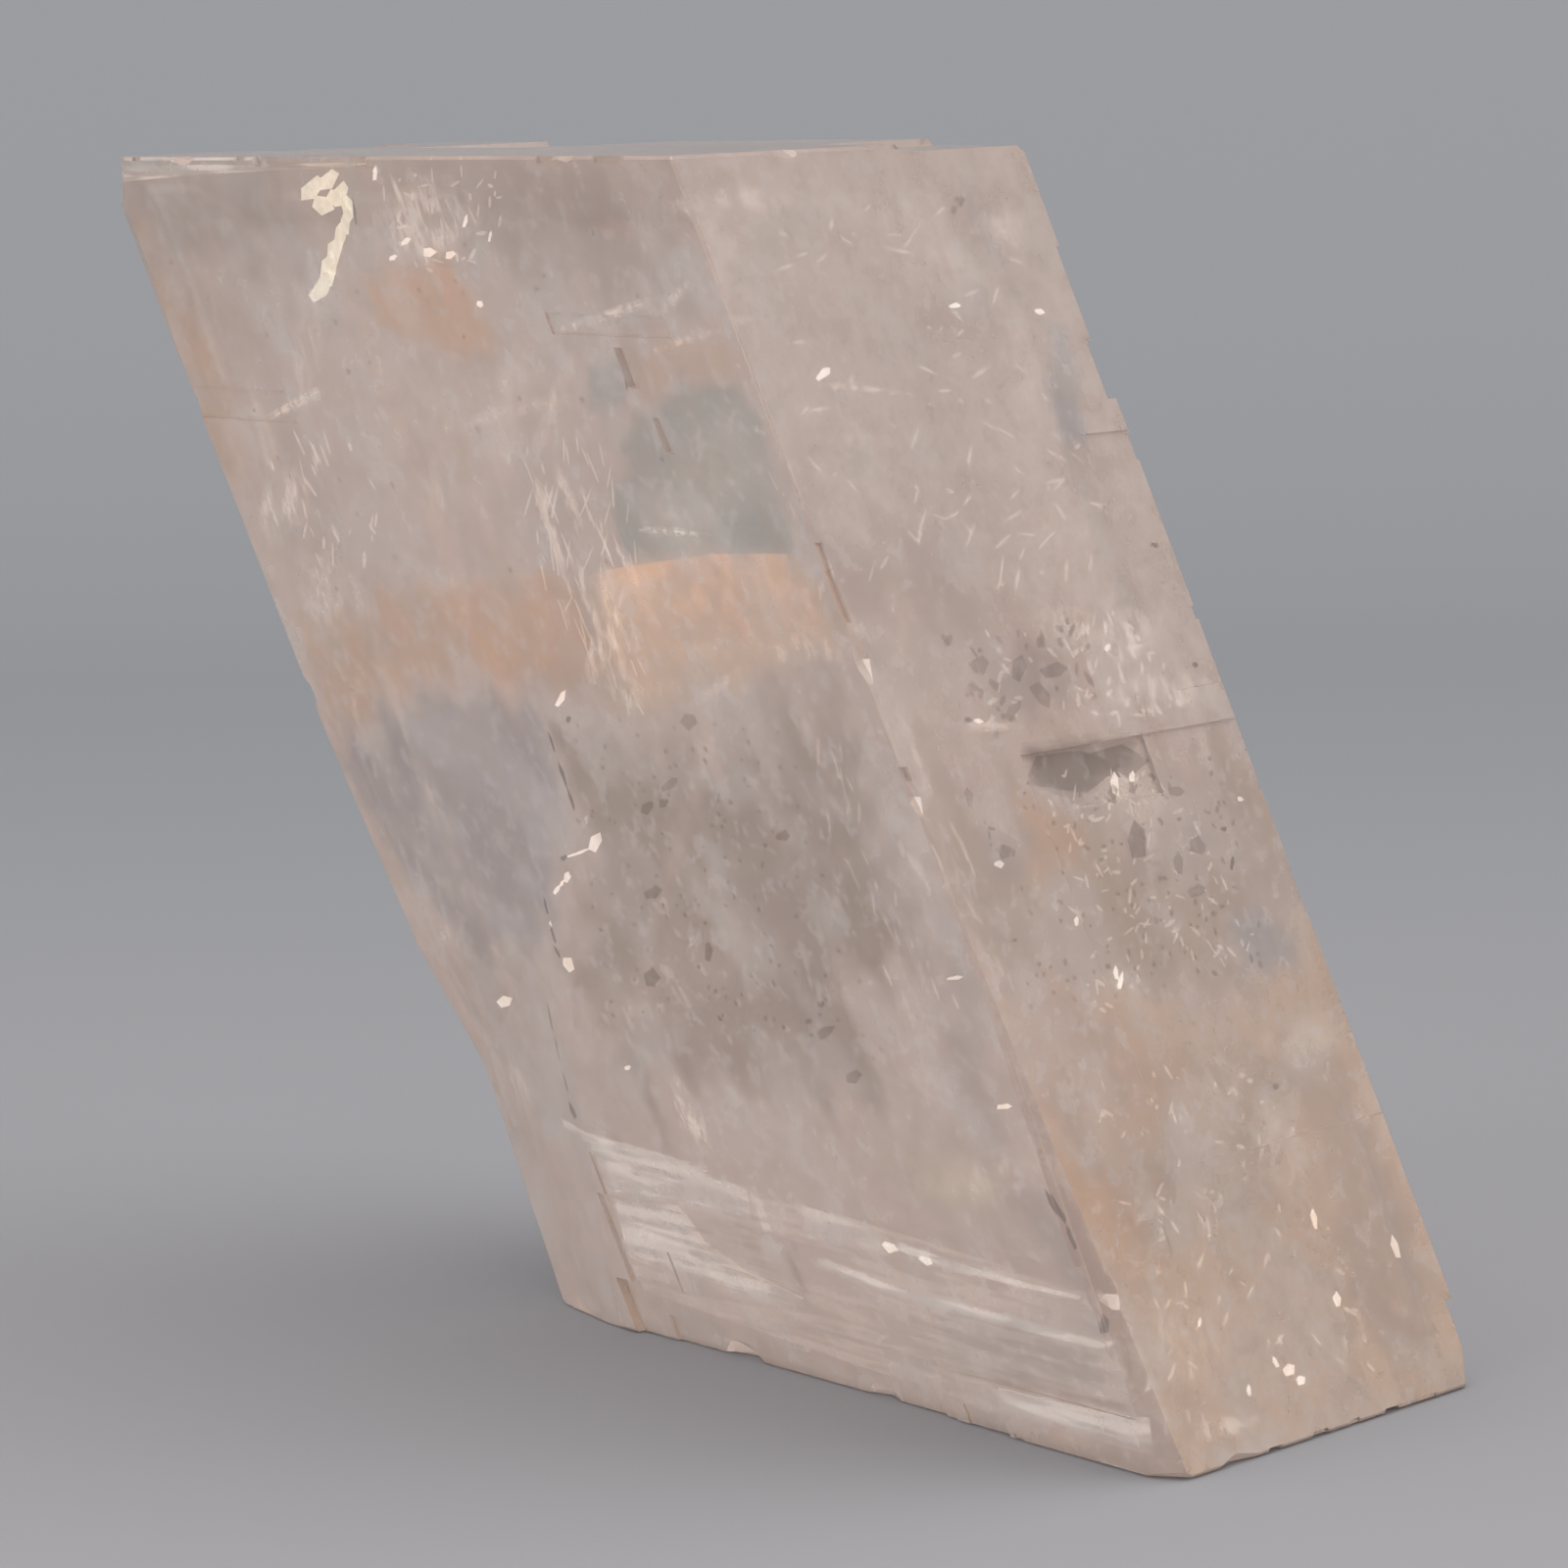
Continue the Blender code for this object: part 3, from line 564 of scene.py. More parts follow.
DARK_PLATES = (
    ("left", (
        (32.9, 19.4, 0.38, 0.24, 0), (34.4, 20.4, 0.38, 0.30, 0), (29.0, 30.3, 0.9, 0.5, 20),
        (27.9, 29.3, 0.6, 0.4, 0), (26.4, 28.9, 0.7, 0.6, 0), (24.2, 24.6, 1.0, 0.6, 10),
        (26.9, 22.0, 0.5, 0.9, 0), (21.3, 20.1, 0.9, 0.9, 0), (33.9, 19.0, 1.1, 0.5, 20),
        (34.8, 17.0, 0.8, 0.6, 10), (32.5, 33.6, 0.9, 0.7, -30), (36.5, 28.6, 0.7, 0.5, 0),
    )),
    ("right", (
        (8.2, 34.4, 1.2, 0.5, 60), (9.6, 36.2, 1.3, 0.7, 80), (11.8, 35.9, 1.4, 0.7, 20),
        (7.2, 36.6, 1.0, 0.8, 80), (10.4, 34.9, 1.5, 0.7, -50), (13.2, 27.7, 2.0, 0.9, 95),
        (17.1, 27.0, 0.95, 0.9, 0), (17.0, 29.6, 0.9, 0.5, 0), (15.4, 26.4, 1.1, 0.5, 100),
        (15.9, 25.0, 0.9, 0.6, 30), (4.3, 28.4, 0.8, 0.6, 30), (4.1, 29.5, 0.38, 0.24, 0),
        (12.9, 30.0, 1.0, 0.5, 80), (14.4, 30.2, 0.8, 0.5, 80), (8.7, 6.7, 0.38, 0.19, 100),
        (17.2, 57.3, 0.6, 0.5, 80), (16.6, 56.9, 0.5, 0.3, 80), (3.4, 31.0, 0.9, 0.4, 100),
        # two large dark plates of painted shade under the open break
        (10.6, 31.3, 4.8, 2.0, 8), (13.9, 31.4, 3.2, 1.6, 8),
    )),
)


def under_face(side, along, up, depth):
    """A place under one of the faces, moved so that it is still seen at (along, up)."""
    along_axis, depth_axis, from_far, seen_shift = FACES[side]
    readings = [0.0, 0.0, up + seen_shift[1] * depth]
    readings[along_axis] = along + seen_shift[0] * depth
    readings[depth_axis] = EDGE_LENGTHS[depth_axis] - depth if from_far else depth
    return at(*(
        min(max(reading, INNER_MARGIN), length - INNER_MARGIN)
        for reading, length in zip(readings, EDGE_LENGTHS)
    ))


def missing_depth(side, along, up):
    """How much of the crystal is gone at a place of one of its faces, at steps and slots."""
    along_axis, depth_axis, from_far, seen_shift = FACES[side]
    readings = [0.0, 0.0, up]
    readings[along_axis] = along
    readings[depth_axis] = EDGE_LENGTHS[depth_axis] + OUTSIDE if from_far else -OUTSIDE
    inward = EDGE_DIRECTIONS.col[depth_axis] * (-1.0 if from_far else 1.0)
    reach = crystal_surface.ray_cast(at(*readings), inward)[3]
    return max(reach / MM - OUTSIDE, 0.0) if reach else 0.0


def deepest(side, spots):
    return max(missing_depth(side, along, up) for along, up in spots)


def seen_oval(side, along, up, length, width, turn, reaches):
    """Places around an oval that is drawn as it is seen, as readings along the face."""
    heading = math.radians(turn)
    places = []
    for spoke, reach in enumerate(reaches):
        angle = 2.0 * math.pi * (spoke + reach[1]) / len(reaches)
        x = reach[0] * length * math.cos(angle)
        y = reach[0] * width * math.sin(angle)
        shift = FACE_VIEW[FACES[side][0]] @ np.array((
            x * math.cos(heading) - y * math.sin(heading),
            x * math.sin(heading) + y * math.cos(heading),
        ))
        places.append((along + shift[0], up + shift[1]))
    return places


def add_plate(mesh, side, along, up, length, width, turn, depth, chance):
    """Adds a thin closed plate with an uneven five-cornered outline."""
    reaches = [
        (0.5, chance.uniform(-PLATE_UNEVENNESS, PLATE_UNEVENNESS)) for corner in range(PLATE_CORNERS)
    ]
    outline = seen_oval(side, along, up, length, width, turn, reaches)
    depth += deepest(side, [(along, up), *outline])
    rings = [[], []]
    for place in outline:
        tilt = chance.uniform(0.0, PLATE_TILT) * width
        for ring, extra in zip(rings, (0.0, PLATE_THICKNESS)):
            ring.append(mesh.verts.new(under_face(side, *place, depth + tilt + extra)))
    mesh.faces.new(rings[0])
    mesh.faces.new(reversed(rings[1]))
    for corner in range(PLATE_CORNERS):
        following = (corner + 1) % PLATE_CORNERS
        mesh.faces.new((
            rings[0][following], rings[0][corner], rings[1][corner], rings[1][following],
        ))


def finished_piece(name, mesh, material):
    """Makes an object of the mesh that rides with the crystal."""
    bmesh.ops.recalc_face_normals(mesh, faces=mesh.faces)
    data = mesh_data(name, mesh)
    data.materials.append(material)
    made = linked(name, data)
    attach(made, "root")
    return made


def each_row(table):
    """The rows of a table in their order, each with its face in front."""
    return [(side, *row) for side, rows in table for row in rows]


def plates(name, table, depth, material, seed):
    chance = random.Random(seed)
    mesh = bmesh.new()
    for row in each_row(table):
        add_plate(mesh, *row, depth, chance)
    return finished_piece(name, mesh, material)


def glowing(finish, colour, roughness, glow):
    """A pale surface that gives off a little of its own light."""
    finish.material.cycles.emission_sampling = "NONE"
    return finish.node("ShaderNodeBsdfPrincipled", None, {
        "Base Color": colour, "Roughness": roughness,
        "Emission Color": colour, "Emission Strength": glow,
    })


def see_through(finish, cover, solid):
    """Closes the finish: solid where cover is 1 and nothing to see where it is 0."""
    clear = finish.node("ShaderNodeBsdfTransparent")
    return finish.close(finish.node("ShaderNodeMixShader", None, {0: cover, 1: clear, 2: solid}))


def bright_finish(name, pale, deep, glow):
    finish = Finish(name)
    streak = finish.noise(finish.place(), STREAK_SIZE)
    colour = finish.mix(streak.rise(0.35, 0.65), pale, deep)
    # painted highlight: the plate glows with light of its own
    return finish.close(glowing(finish, colour, 0.12 + streak * 0.25, glow))


def dark_finish(name, colour, cover):
    finish = Finish(name)
    solid = finish.node("ShaderNodeBsdfPrincipled", None, {"Base Color": colour, "Roughness": 0.5})
    return see_through(finish, cover, solid)


# painted highlights: glints and flashes glow white and pale yellow
glint = bright_finish("glint", rgb(1.0, 0.97, 0.93), rgb(0.95, 0.88, 0.82), 0.7)
flash = bright_finish("flash", rgb(1.0, 0.98, 0.86), rgb(0.86, 0.84, 0.68), 0.5)
# dark grains, and the dark plates of painted shade under the open break
dark_grain_and_shade = dark_finish("dark_grain_and_shade", rgb(0.24, 0.14, 0.10), 0.40)
dark_slit = dark_finish("dark_slit", rgb(0.04, 0.03, 0.03), 0.85)
plates("glints", GLINTS, PLATE_DEPTH, glint, 3)
plates("flashes", FLASHES, PLATE_DEPTH, flash, 4)
plates("dark_plates", DARK_PLATES, PLATE_DEPTH, dark_grain_and_shade, 5)
plates("dark_slits", DARK_SLITS, SLIT_DEPTH, dark_slit, 6)


# The veils. Soft white clouds and wisps just under the faces, where fine breaks along the
# cleavage let air in, white sheets under the broken steps of the foot and along the top edge
# that are painted highlights, and one open break across the right face that shines from above.
# The clouds, wisps, sheets and iron stains also glow a little with painted light of their own.
VEILS = (
    # for each face: place along it and up it, length, width, turn as it is seen, how white
    ("left", (
        (4.5, 42.4, 4.2, 3.3, 40, 0.60), (27.3, 42.4, 7.1, 0.8, -72, 0.60),
        (28.1, 39.1, 5.7, 0.7, -70, 0.60), (29.7, 44.1, 3.8, 0.7, -65, 0.50),
        (29.6, 38.3, 6.1, 1.0, 100, 0.70), (27.5, 36.5, 3.3, 1.4, 60, 0.60),
        (36.7, 42.8, 4.2, 0.4, -16, 0.80), (32.4, 41.0, 3.3, 0.5, -60, 0.70),
        (43.8, 37.9, 5.7, 1.6, -12, 0.35), (37.8, 37.4, 6.1, 1.2, -10, 0.2),
        (26.8, 57.0, 7.1, 4.2, -10, 0.45), (25.4, 58.4, 2.4, 0.4, -70, 0.60),
        (37.6, 52.7, 7.1, 0.6, 0, 0.60), (5.4, 38.2, 4.2, 3.3, 100, 0.35),
        (43.8, 29.0, 3.3, 10.8, 10, 0.05), (42.7, 23.5, 2.8, 5.7, 10, 0.12),
        (20.0, 13.0, 5.2, 1.4, -65, 0.60), (35.5, 57.7, 4.2, 1.2, 70, 0.15),
        (43.3, 56.0, 2.8, 1.0, 100, 0.20), (9.4, 47.8, 5.2, 0.7, 8, 0.60),
        (43.2, 51.8, 5.7, 0.4, 0, 0.45), (19.4, 43.9, 4.7, 2.8, 100, 0.25),
        (27.7, 48.0, 8.5, 0.7, -2, 0.30), (36.6, 21.4, 1.9, 2.8, 90, 0.25),
        (28.6, 35.0, 4.2, 1.9, -30, 0.35), (44.0, 53.8, 2.4, 0.9, 20, 0.40),
        (36.1, 35.6, 4.2, 0.8, 20, 0.30),
    )),
    ("right", (
        (3.7, 58.0, 5.2, 1.4, 10, 0.40), (6.6, 49.3, 5.2, 0.4, 2, 0.50),
        (19.5, 56.0, 2.8, 2.8, 0, 0.30), (14.3, 54.5, 7.5, 2.8, 10, 0.20),
        (17.4, 36.8, 5.2, 2.8, 40, 0.50), (18.6, 34.2, 6.6, 2.4, 8, 0.50),
        (13.8, 37.7, 3.8, 2.8, 0, 0.40), (6.2, 33.9, 3.8, 0.6, 5, 0.50),
        (13.4, 30.4, 2.8, 2.4, 100, 0.40), (11.8, 15.8, 6.1, 4.7, 20, 0.12),
        (3.8, 6.0, 4.2, 5.2, 60, 0.25), (14.9, 12.5, 2.8, 6.6, 20, 0.25),
        (5.0, 25.6, 2.8, 2.4, 0, 0.25), (3.1, 18.6, 2.4, 2.8, 0, 0.20),
        (15.6, 28.7, 4.7, 2.8, -20, 0.12), (4.6, 11.6, 3.3, 0.7, 40, 0.30),
        (4.5, 1.6, 4.2, 1.2, 10, 0.60), (4.2, 39.5, 2.8, 1.4, -20, 0.20),
        (4.9, 47.1, 7.5, 0.8, 5, 0.20), (11.8, 57.1, 7.1, 1.9, 0, 0.20),
    )),
    ("left", (
        (38.5, 26.0, 5.0, 1.2, 75, 0.20), (20.6, 27.6, 1.6, 0.4, 60, 0.50),
        (26.0, 22.5, 1.6, 0.5, 60, 0.50),
    )),
    ("back", (
        (13.0, 20.0, 14.0, 5.0, 20, 0.35), (32.0, 46.0, 10.0, 6.0, 60, 0.35),
        (36.0, 14.0, 9.0, 3.0, 10, 0.50), (22.0, 30.0, 14.0, 1.2, 70, 0.50),
        (40.0, 30.0, 12.0, 2.0, 100, 0.35), (20.0, 50.0, 8.0, 2.0, 80, 0.40),
    )),
    ("side", (
        (11.0, 48.0, 9.0, 5.0, 80, 0.35), (8.0, 12.0, 8.0, 5.0, 20, 0.40),
        (15.0, 30.0, 10.0, 1.2, 100, 0.50),
    )),
    ("left", (
        (12.5, 51.0, 7.0, 2.4, 80, 0.25), (31.5, 48.5, 6.0, 1.2, 60, 0.30),
    )),
)
VEIL_DEPTH = 0.6
VEIL_GLOW = 0.3
WISP_PEAK = 1.35
# each ring's share of the veil's size, and of its whiteness
VEIL_RINGS = ((0.35, 0.9), (0.7, 0.5), (1.0, 0.0))
VEIL_SPOKES = 14
IRON_STAINS = (
    # depth, then rows from the top down of (place along, place up, strength)
    (0.8, (
        ((29.0, 40.3, 0.1), (31.5, 40.8, 0.5), (39.2, 41.9, 0.6), (44.0, 42.2, 0.4), (46.5, 42.3, 0.0)),
        ((28.0, 38.6, 0.1), (31.0, 38.9, 0.4), (39.2, 39.6, 0.5), (45.0, 40.2, 0.4), (46.8, 40.4, 0.0)),
        ((26.0, 35.4, 0.0), (30.0, 36.0, 0.2), (38.0, 37.2, 0.25), (45.0, 38.6, 0.2), (46.8, 38.8, 0.0)),
        ((25.0, 33.6, 0.0), (30.0, 33.8, 0.0), (38.0, 35.2, 0.0), (45.0, 37.4, 0.0), (46.8, 37.6, 0.0)),
    )),
    (1.0, (
        ((4.0, 37.4, 0.0), (11.7, 38.9, 0.05), (18.5, 39.7, 0.12), (27.0, 40.3, 0.15), (29.0, 40.4, 0.0)),
        ((3.6, 35.4, 0.0), (11.7, 36.9, 0.05), (18.5, 37.5, 0.1), (26.0, 38.0, 0.1), (28.0, 38.2, 0.0)),
        ((2.0, 31.5, 0.0), (11.7, 33.5, 0.0), (18.0, 34.0, 0.0), (24.0, 34.6, 0.0), (26.0, 34.8, 0.0)),
    )),
    (0.7, (
        ((19.6, 54.4, 0.1), (23.6, 55.0, 0.15), (27.4, 54.8, 0.15), (28.6, 53.4, 0.0)),
        ((19.4, 53.0, 0.1), (23.8, 53.4, 0.15), (27.6, 53.2, 0.15), (29.0, 52.4, 0.0)),
        ((19.2, 52.0, 0.0), (24.2, 51.3, 0.0), (27.8, 50.9, 0.1), (29.2, 51.2, 0.0)),
    )),
)
# painted highlights: white glowing sheets under the foot's white stripes and along the top edge
STEP_HIGHLIGHT = 0.75
STEP_HIGHLIGHT_DEPTH = 1.2
HIGHLIGHT_SHEETS = (
    # outline, strength, depth
    (((9.5, 10.4), (45.6, 8.6), (45.8, 1.0), (30.0, 1.0), (8.5, 2.2)), 0.22, 1.6),
    (((1.2, 59.6), (9.0, 59.8), (24.0, 59.8), (23.0, 59.6), (9.0, 59.2), (0.8, 58.8)), 0.6, 0.6),
)
# place along the right face, depth under it, place up it
OPEN_BREAK = ((8.0, 0.5, 32.75), (15.8, 0.5, 32.2), (22.4, 0.25, 32.2), (21.5, 7.0, 32.2),
              (17.0, 11.0, 32.3), (11.0, 7.0, 32.5))


def add_veil(mesh, cover, side, along, up, length, width, turn, white, chance):
    """Adds one soft-edged oval cloud, a little uneven in outline and depth."""
    outlines = []
    for share, strength in VEIL_RINGS:
        reaches = [(0.5 * share * chance.uniform(0.75, 1.1), 0.0) for spoke in range(VEIL_SPOKES)]
        outlines.append(seen_oval(side, along, up, length, width, turn, reaches))
    depth = VEIL_DEPTH + chance.uniform(0.0, 0.5) + deepest(side, [(along, up), *outlines[-1]])
    centre = mesh.verts.new(under_face(side, along, up, depth))
    centre[cover] = white
    rings = []
    for (share, strength), outline in zip(VEIL_RINGS, outlines):
        ring = [
            mesh.verts.new(under_face(side, *place, depth + chance.uniform(0.0, 0.25)))
            for place in outline
        ]
        for corner in ring:
            corner[cover] = white * strength
        rings.append(ring)
    for spoke in range(VEIL_SPOKES):
        following = (spoke + 1) % VEIL_SPOKES
        mesh.faces.new((centre, rings[0][spoke], rings[0][following]))
        for inner, outer in zip(rings, rings[1:]):
            mesh.faces.new((inner[spoke], outer[spoke], outer[following], inner[following]))


def veil_finish(name, squeezes, size_mm, colour, evenness=0.25):
    finish = Finish(name)
    place = finish.place()
    wisp = finish.noise(finish.squeezed(place, squeezes), size_mm, seed=0.4)
    cover = finish.node("ShaderNodeAttribute", {"attribute_name": "cover"}, output=2)
    amount = (cover * (evenness + wisp.rise(0.38, 0.62) * (WISP_PEAK - evenness))).clamped()
    # painted light: the sheet glows a little with light of its own
    return see_through(finish, amount, glowing(finish, colour, 0.5, VEIL_GLOW))


def veils():
    chance = random.Random(8)
    mesh = bmesh.new()
    cover = mesh.verts.layers.float.new("cover")
    for row in each_row(VEILS):
        add_veil(mesh, cover, *row, chance)
    material = veil_finish("veil", (0.9, 0.9, 0.35), 0.55, rgb(1.0, 0.94, 0.89))
    return finished_piece("veils", mesh, material)


def highlight_sheets():
    """Flat white sheets straight under the broken steps of the foot and along the top edge: painted
    highlights that glow a little.
    """
    mesh = bmesh.new()
    cover = mesh.verts.layers.float.new("cover")
    steps = [
        (outline, strength * STEP_HIGHLIGHT, STEP_HIGHLIGHT_DEPTH)
        for colour, strength, soft, outline in LEFT_ZONES
        if colour is WHITE_AND_HIGHLIGHT and max(up for along, up in outline) < FOOT_HEIGHT
    ]
    seen_shift = FACES["left"][3]
    for outline, strength, depth in (*steps, *HIGHLIGHT_SHEETS):
        corners = []
        for along, up in outline:
            corner = mesh.verts.new(under_face("left", along - seen_shift[0] * depth, up, depth))
            corner[cover] = strength
            corners.append(corner)
        mesh.faces.new(corners)
    material = veil_finish("highlight_sheets", (0.10, 0.10, 1.1), 0.5, rgb(1.0, 0.95, 0.91))
    return finished_piece("highlight_sheets", mesh, material)


def iron_stains():
    """Sheets of rusty orange on healed cracks: sharp along the top and fading downward, and glowing a
    little with painted light.
    """
    mesh = bmesh.new()
    cover = mesh.verts.layers.float.new("cover")
    for depth, rows in IRON_STAINS:
        corners = []
        for row in rows:
            corners.append([])
            for along, up, strength in row:
                corner = mesh.verts.new(under_face("left", along, up, depth))
                corner[cover] = strength
                corners[-1].append(corner)
        for upper, lower in zip(corners, corners[1:]):
            for spot in range(len(upper) - 1):
                mesh.faces.new((upper[spot], lower[spot], lower[spot + 1], upper[spot + 1]))
    material = veil_finish("iron_stain", (0.8, 0.8, 0.8), 2.0, rgb(0.98, 0.64, 0.46), 0.7)
    return finished_piece("iron_stains", mesh, material)


def open_break():
    mesh = bmesh.new()
    corners = [mesh.verts.new(at(EDGE_LENGTHS[0] - depth, q, r)) for q, depth, r in OPEN_BREAK]
    mesh.faces.new(corners)
    bmesh.ops.triangulate(mesh, faces=mesh.faces)
    finish = Finish("open_break")
    patch = finish.noise(finish.place(), 3.0)
    shine = finish.node("ShaderNodeBsdfPrincipled", None, {
        "Base Color": rgb(0.97, 0.90, 0.85), "Roughness": 0.08 + patch * 0.15, "Metallic": 0.8,
    })
    material = see_through(finish, 0.25 + patch.rise(0.35, 0.6) * 0.4, shine)
    return finished_piece("open_break", mesh, material)


veils()
highlight_sheets()
iron_stains()
open_break()


# The healed cracks. Sheets inside the crystal that are strewn with tiny feathers and grains,
# where old breaks grew together again. One node tree strews the chips over each sheet.
# The white feathers glow a little with painted light of their own.
FEATHER_BEDS = (
    # name, face, depth, outline, chips per square mm, least and greatest size, stray turn and turn
    ("feathers_band", "left", 1.2, ((26, 46), (34, 47), (34, 43), (32, 38), (29, 34), (26, 34), (25, 41)),
     0.9, (0.5, 0.06, 0.05), (2.2, 0.16, 0.1), 35, 95),
    ("feathers_top", "left", 0.8, ((22, 60), (34, 60), (33, 55.5), (24, 54.5)),
     0.8, (0.3, 0.08, 0.05), (1.0, 0.25, 0.1), 70, 70),
    ("feathers_left", "left", 1.5, ((5, 46), (14, 47), (14, 40), (4, 39)),
     0.4, (0.3, 0.08, 0.05), (1.6, 0.3, 0.1), 40, 100),
    ("feathers_centre", "left", 2.5, ((40, 33), (47, 34), (45, 21), (40, 20)),
     0.4, (0.4, 0.06, 0.05), (1.6, 0.14, 0.1), 30, 105),
    ("feathers_above_crack", "right", 0.8, ((6, 33.5), (21, 33), (18, 38), (8, 38)),
     1.2, (0.2, 0.1, 0.05), (0.9, 0.3, 0.1), 90, 60),
    ("feathers_below_crack", "right", 0.8, ((8, 32), (17, 31), (19, 22), (6, 20)),
     1.1, (0.2, 0.08, 0.05), (0.9, 0.22, 0.1), 90, 90),
    ("feathers_low", "right", 1.6, ((4, 18), (17, 17), (16, 2), (2, 2)),
     0.45, (0.2, 0.08, 0.05), (0.9, 0.22, 0.1), 90, 90),
    ("feathers_high", "right", 2.2, ((1, 58), (21, 57), (19, 40), (2, 40)),
     0.25, (0.2, 0.08, 0.05), (1.6, 0.2, 0.1), 60, 20),
    ("feathers_back", "back", 2.2, ((16, 14), (34, 12), (36, 40), (22, 44)),
     0.3, (0.2, 0.08, 0.05), (1.8, 0.2, 0.1), 50, 100),
    ("feathers_side", "side", 1.4, ((4, 20), (17, 22), (18, 46), (6, 40)),
     0.3, (0.2, 0.08, 0.05), (1.6, 0.2, 0.1), 50, 80),
)
FEATHER_COVER = 0.4
CHIP_TILT = 0.25
STRAY_SEED = 7
FIRST_GRAIN_SEED = 20
GRAIN_BEDS = (
    ("grains_centre", "left", 2.0, ((22, 33), (40, 34), (38, 18), (16, 17)),
     0.45, (0.12, 0.08, 0.06), (0.38, 0.24, 0.12), 90, 0),
    ("grains_below_crack", "right", 1.2, ((4, 31), (21, 31), (19, 21), (2, 21)),
     0.8, (0.12, 0.1, 0.06), (0.45, 0.26, 0.12), 90, 60),
    ("grains_above_crack", "right", 1.0, ((5, 38), (15, 38), (14, 33.5), (6, 33.5)),
     0.9, (0.2, 0.12, 0.06), (0.9, 0.4, 0.12), 90, 20),
    ("grains_high", "left", 3.0, ((3, 58), (44, 58), (40, 40), (2, 38)),
     0.06, (0.15, 0.1, 0.06), (0.4, 0.25, 0.12), 90, 0),
)


def strewn_chips_tree():
    """A node tree that strews thin chips over a sheet."""
    tree = bpy.data.node_groups.new("strewn_chips", "GeometryNodeTree")
    for name, kind in (
        ("Sheet", "NodeSocketGeometry"), ("Chips per Area", "NodeSocketFloat"),
        ("Least Size", "NodeSocketVector"), ("Greatest Size", "NodeSocketVector"),
        ("Sheet Turn", "NodeSocketVector"), ("Stray Turn", "NodeSocketVector"),
        ("Seed", "NodeSocketInt"), ("Finish", "NodeSocketMaterial"),
    ):
        tree.interface.new_socket(name, in_out="INPUT", socket_type=kind)
    tree.interface.new_socket("Chips", in_out="OUTPUT", socket_type="NodeSocketGeometry")

    def node(kind, settings=None, values=None):
        return add_node(tree, kind, settings, values)[0]

    given = add_node(tree, "NodeGroupInput")
    points = node("GeometryNodeDistributePointsOnFaces", None, {
        "Mesh": given["Sheet"], "Density": given["Chips per Area"], "Seed": given["Seed"],
    })
    chip = node("GeometryNodeMeshCylinder", {"fill_type": "NGON"}, {
        "Vertices": PLATE_CORNERS, "Radius": 0.5, "Depth": 1.0,
    })
    size = node("FunctionNodeRandomValue", {"data_type": "FLOAT_VECTOR"}, {
        0: given["Least Size"], 1: given["Greatest Size"], "Seed": given["Seed"],
    })
    lowest = node("ShaderNodeVectorMath", {"operation": "SCALE"}, {0: given["Stray Turn"], "Scale": -1.0})
    stray = node("FunctionNodeRandomValue", {"data_type": "FLOAT_VECTOR"}, {
        0: lowest, 1: given["Stray Turn"], "Seed": STRAY_SEED,
    })
    sheet_turn = node("FunctionNodeEulerToRotation", None, {0: given["Sheet Turn"]})
    stray_turn = node("FunctionNodeEulerToRotation", None, {0: stray})
    turn = node("FunctionNodeRotateRotation", {"rotation_space": "LOCAL"}, {0: sheet_turn, 1: stray_turn})
    strewn = node("GeometryNodeInstanceOnPoints", None, {
        "Points": points, "Instance": chip, "Rotation": turn, "Scale": size,
    })
    real = node("GeometryNodeRealizeInstances", None, {0: strewn})
    finished = node("GeometryNodeSetMaterial", None, {"Geometry": real, "Material": given["Finish"]})
    tree.links.new(finished, tree.nodes.new("NodeGroupOutput").inputs[0])
    return tree


def strew(tree, bed, material, seed):
    """Strews one bed and makes the chips a plain mesh that rides with the crystal."""
    name, side, depth, outline, amount, least, greatest, stray, turn = bed
    mesh = bmesh.new()
    mesh.faces.new([mesh.verts.new(under_face(side, along, up, depth)) for along, up in outline])
    sheet = linked(name + "_sheet", mesh_data(name, mesh))
    along_axis, depth_axis, from_far, seen_shift = FACES[side]
    outward = EDGE_READINGS[depth_axis].normalized() * (1.0 if from_far else -1.0)
    seen = FACE_VIEW[along_axis] @ np.array((math.cos(math.radians(turn)), math.sin(math.radians(turn))))
    heading = EDGE_DIRECTIONS.col[along_axis] * seen[0] + EDGE_DIRECTIONS.col[2] * seen[1]
    heading.normalize()
    frame_turn = Matrix((heading, outward.cross(heading), outward)).transposed().to_euler()
    strewing = sheet.modifiers.new("strewing", "NODES")
    strewing.node_group = tree
    inputs = {
        "Chips per Area": amount / (MM * MM), "Least Size": [size * MM for size in least],
        "Greatest Size": [size * MM for size in greatest], "Sheet Turn": list(frame_turn),
        "Stray Turn": [CHIP_TILT, CHIP_TILT, math.radians(stray)], "Seed": seed, "Finish": material,
    }
    for item in tree.interface.items_tree:
        if item.name in inputs:
            strewing[item.identifier] = inputs[item.name]
    graph = bpy.context.evaluated_depsgraph_get()
    chips = bpy.data.meshes.new_from_object(sheet.evaluated_get(graph), depsgraph=graph)
    sheet.modifiers.clear()
    bpy.data.objects.remove(sheet)
    made = linked(name, chips)
    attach(made, "root")
    return made


def feather_finish():
    finish = Finish("white_feather")
    # painted light: the feathers glow a little with light of their own
    return see_through(finish, FEATHER_COVER, glowing(finish, rgb(0.98, 0.93, 0.89), 0.4, VEIL_GLOW))


strewn_chips = strewn_chips_tree()
feather = feather_finish()
for seed, bed in enumerate(FEATHER_BEDS):
    strew(strewn_chips, bed, feather, seed)
for seed, bed in enumerate(GRAIN_BEDS):
    strew(strewn_chips, bed, dark_grain_and_shade, seed + FIRST_GRAIN_SEED)


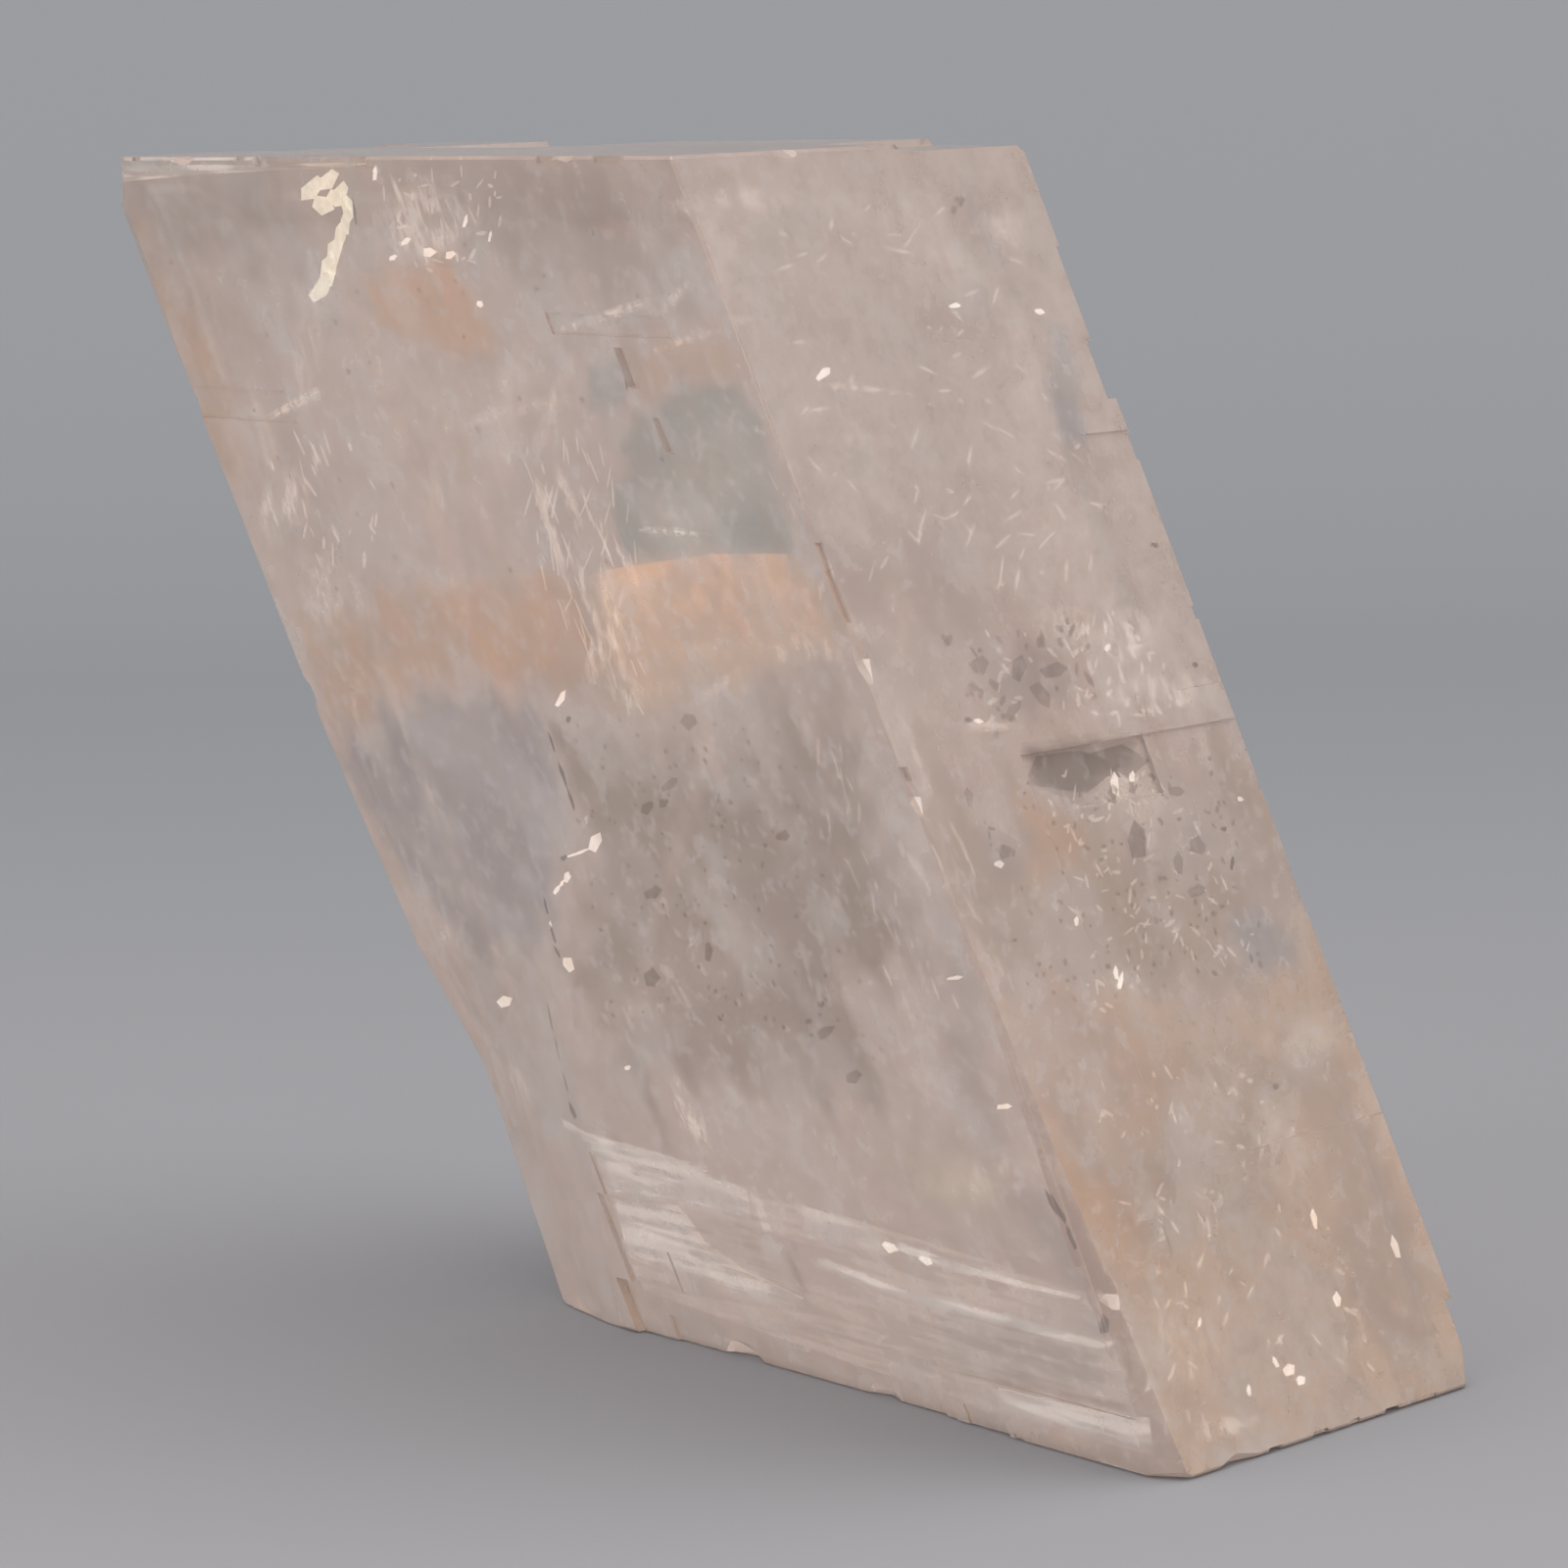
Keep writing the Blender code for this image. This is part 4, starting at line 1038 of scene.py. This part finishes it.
# The floor and backdrop. One sheet of dull grey paper that lies under the crystal and bends up
# behind it, paler in front and a little darker towards the back: painted light, for the light
# that falls more on the floor than on the backdrop.
FLOOR_HALF_WIDTH = 3.0
FLOOR_FRONT = -6.0
FLOOR_LEVEL = -0.0001
SWEEP_START = 0.30
SWEEP_RADIUS = 0.30
SWEEP_HEIGHT = 1.3
SWEEP_STEPS = 24
PAPER_FADE = (-0.10, 0.28)
PAPER_FRONT = rgb(0.325, 0.335, 0.365)
PAPER_BACK = rgb(0.262, 0.282, 0.310)


def sweep_sheet():
    profile = [(FLOOR_FRONT, FLOOR_LEVEL)]
    for step in range(SWEEP_STEPS + 1):
        angle = math.pi / 2 * step / SWEEP_STEPS
        profile.append((
            SWEEP_START + SWEEP_RADIUS * math.sin(angle),
            FLOOR_LEVEL + SWEEP_RADIUS * (1.0 - math.cos(angle)),
        ))
    profile.append((SWEEP_START + SWEEP_RADIUS, SWEEP_HEIGHT))
    mesh = bmesh.new()
    rows = [
        [mesh.verts.new((side * FLOOR_HALF_WIDTH, y, z)) for side in (-1.0, 1.0)]
        for y, z in profile
    ]
    for near, far in zip(rows, rows[1:]):
        face = mesh.faces.new((near[0], near[1], far[1], far[0]))
        face.smooth = True
    return linked("studio_floor", mesh_data("studio_floor", mesh))


def floor_finish():
    finish = Finish("studio_paper")
    depth = finish.node("ShaderNodeSeparateXYZ", None, {"Vector": finish.place()}, 1)
    colour = finish.mix(depth.rise(*PAPER_FADE), PAPER_FRONT, PAPER_BACK)
    return finish.close(finish.node("ShaderNodeBsdfDiffuse", None, {"Color": colour}))


floor = sweep_sheet()
floor.data.materials.append(floor_finish())


# The light. Soft square boxes above, to the right and low on the left, in an evenly lit room.
LIGHTS = (
    # name, place, what it is aimed at, width in metres, power in watts, colour
    ("light_above", (0.10, 0.15, 1.10), (0.0, 0.05, 0.0), 1.6, 9.0, (1.0, 0.95, 0.91)),
    ("light_right", (0.85, -0.45, 0.55), (0.0, 0.0, 0.03), 0.7, 2.2, (1.0, 0.94, 0.89)),
    ("light_left", (-0.75, -0.65, 0.12), (0.0, 0.0, 0.03), 0.6, 6.0, (1.0, 0.95, 0.90)),
)
for name, position, aim, size, power, tint in LIGHTS:
    data = bpy.data.lights.new(name, "AREA")
    data.shape = "SQUARE"
    data.size = size
    data.energy = power
    data.color = tint
    lamp = linked(name, data)
    lamp.location = position
    lamp.rotation_euler = (Vector(aim) - Vector(position)).to_track_quat("-Z", "Y").to_euler()

ROOM_COLOUR = rgb(0.93, 0.87, 0.83)
ROOM_STRENGTH = 0.95
room = bpy.data.worlds.new("grey_room")
room.use_nodes = True
background = room.node_tree.nodes["Background"].inputs
background["Color"].default_value = ROOM_COLOUR
background["Strength"].default_value = ROOM_STRENGTH
bpy.context.scene.world = room
bpy.context.scene.view_settings.view_transform = "Standard"

# how many times light passes through faces, mirrors in them and scatters before it is given up
paths = bpy.context.scene.cycles
paths.max_bounces = 5
paths.transmission_bounces = 5
paths.glossy_bounces = 3
paths.diffuse_bounces = 2
paths.use_light_tree = False


# The camera. It stands close by and a little above the crystal, and has a long lens; its turn,
# fall and roll are in radians, its lens and sensor in millimetres, and the rest in metres.
CAMERA_TARGET = Vector((0.137, 8.063, 25.794)) * MM
CAMERA_TURN = -0.049
CAMERA_FALL = 0.1289
CAMERA_ROLL = -0.0294
CAMERA_DISTANCE = 0.27603
CAMERA_LENS = 131.64
SENSOR_WIDTH = 36.0
NEAREST_SEEN = 0.01

look = Vector((
    math.sin(CAMERA_TURN) * math.cos(CAMERA_FALL),
    math.cos(CAMERA_TURN) * math.cos(CAMERA_FALL),
    -math.sin(CAMERA_FALL),
))
level = Vector((math.cos(CAMERA_TURN), -math.sin(CAMERA_TURN), 0.0))
above = level.cross(look)
across = math.cos(CAMERA_ROLL) * level + math.sin(CAMERA_ROLL) * above
upward = -math.sin(CAMERA_ROLL) * level + math.cos(CAMERA_ROLL) * above
camera = linked("camera", bpy.data.cameras.new("camera"))
camera.data.lens = CAMERA_LENS
camera.data.sensor_width = SENSOR_WIDTH
camera.data.clip_start = NEAREST_SEEN
turn = Matrix((across, upward, -look)).transposed().to_4x4()
camera.matrix_world = Matrix.Translation(CAMERA_TARGET - look * CAMERA_DISTANCE) @ turn
bpy.context.scene.camera = camera
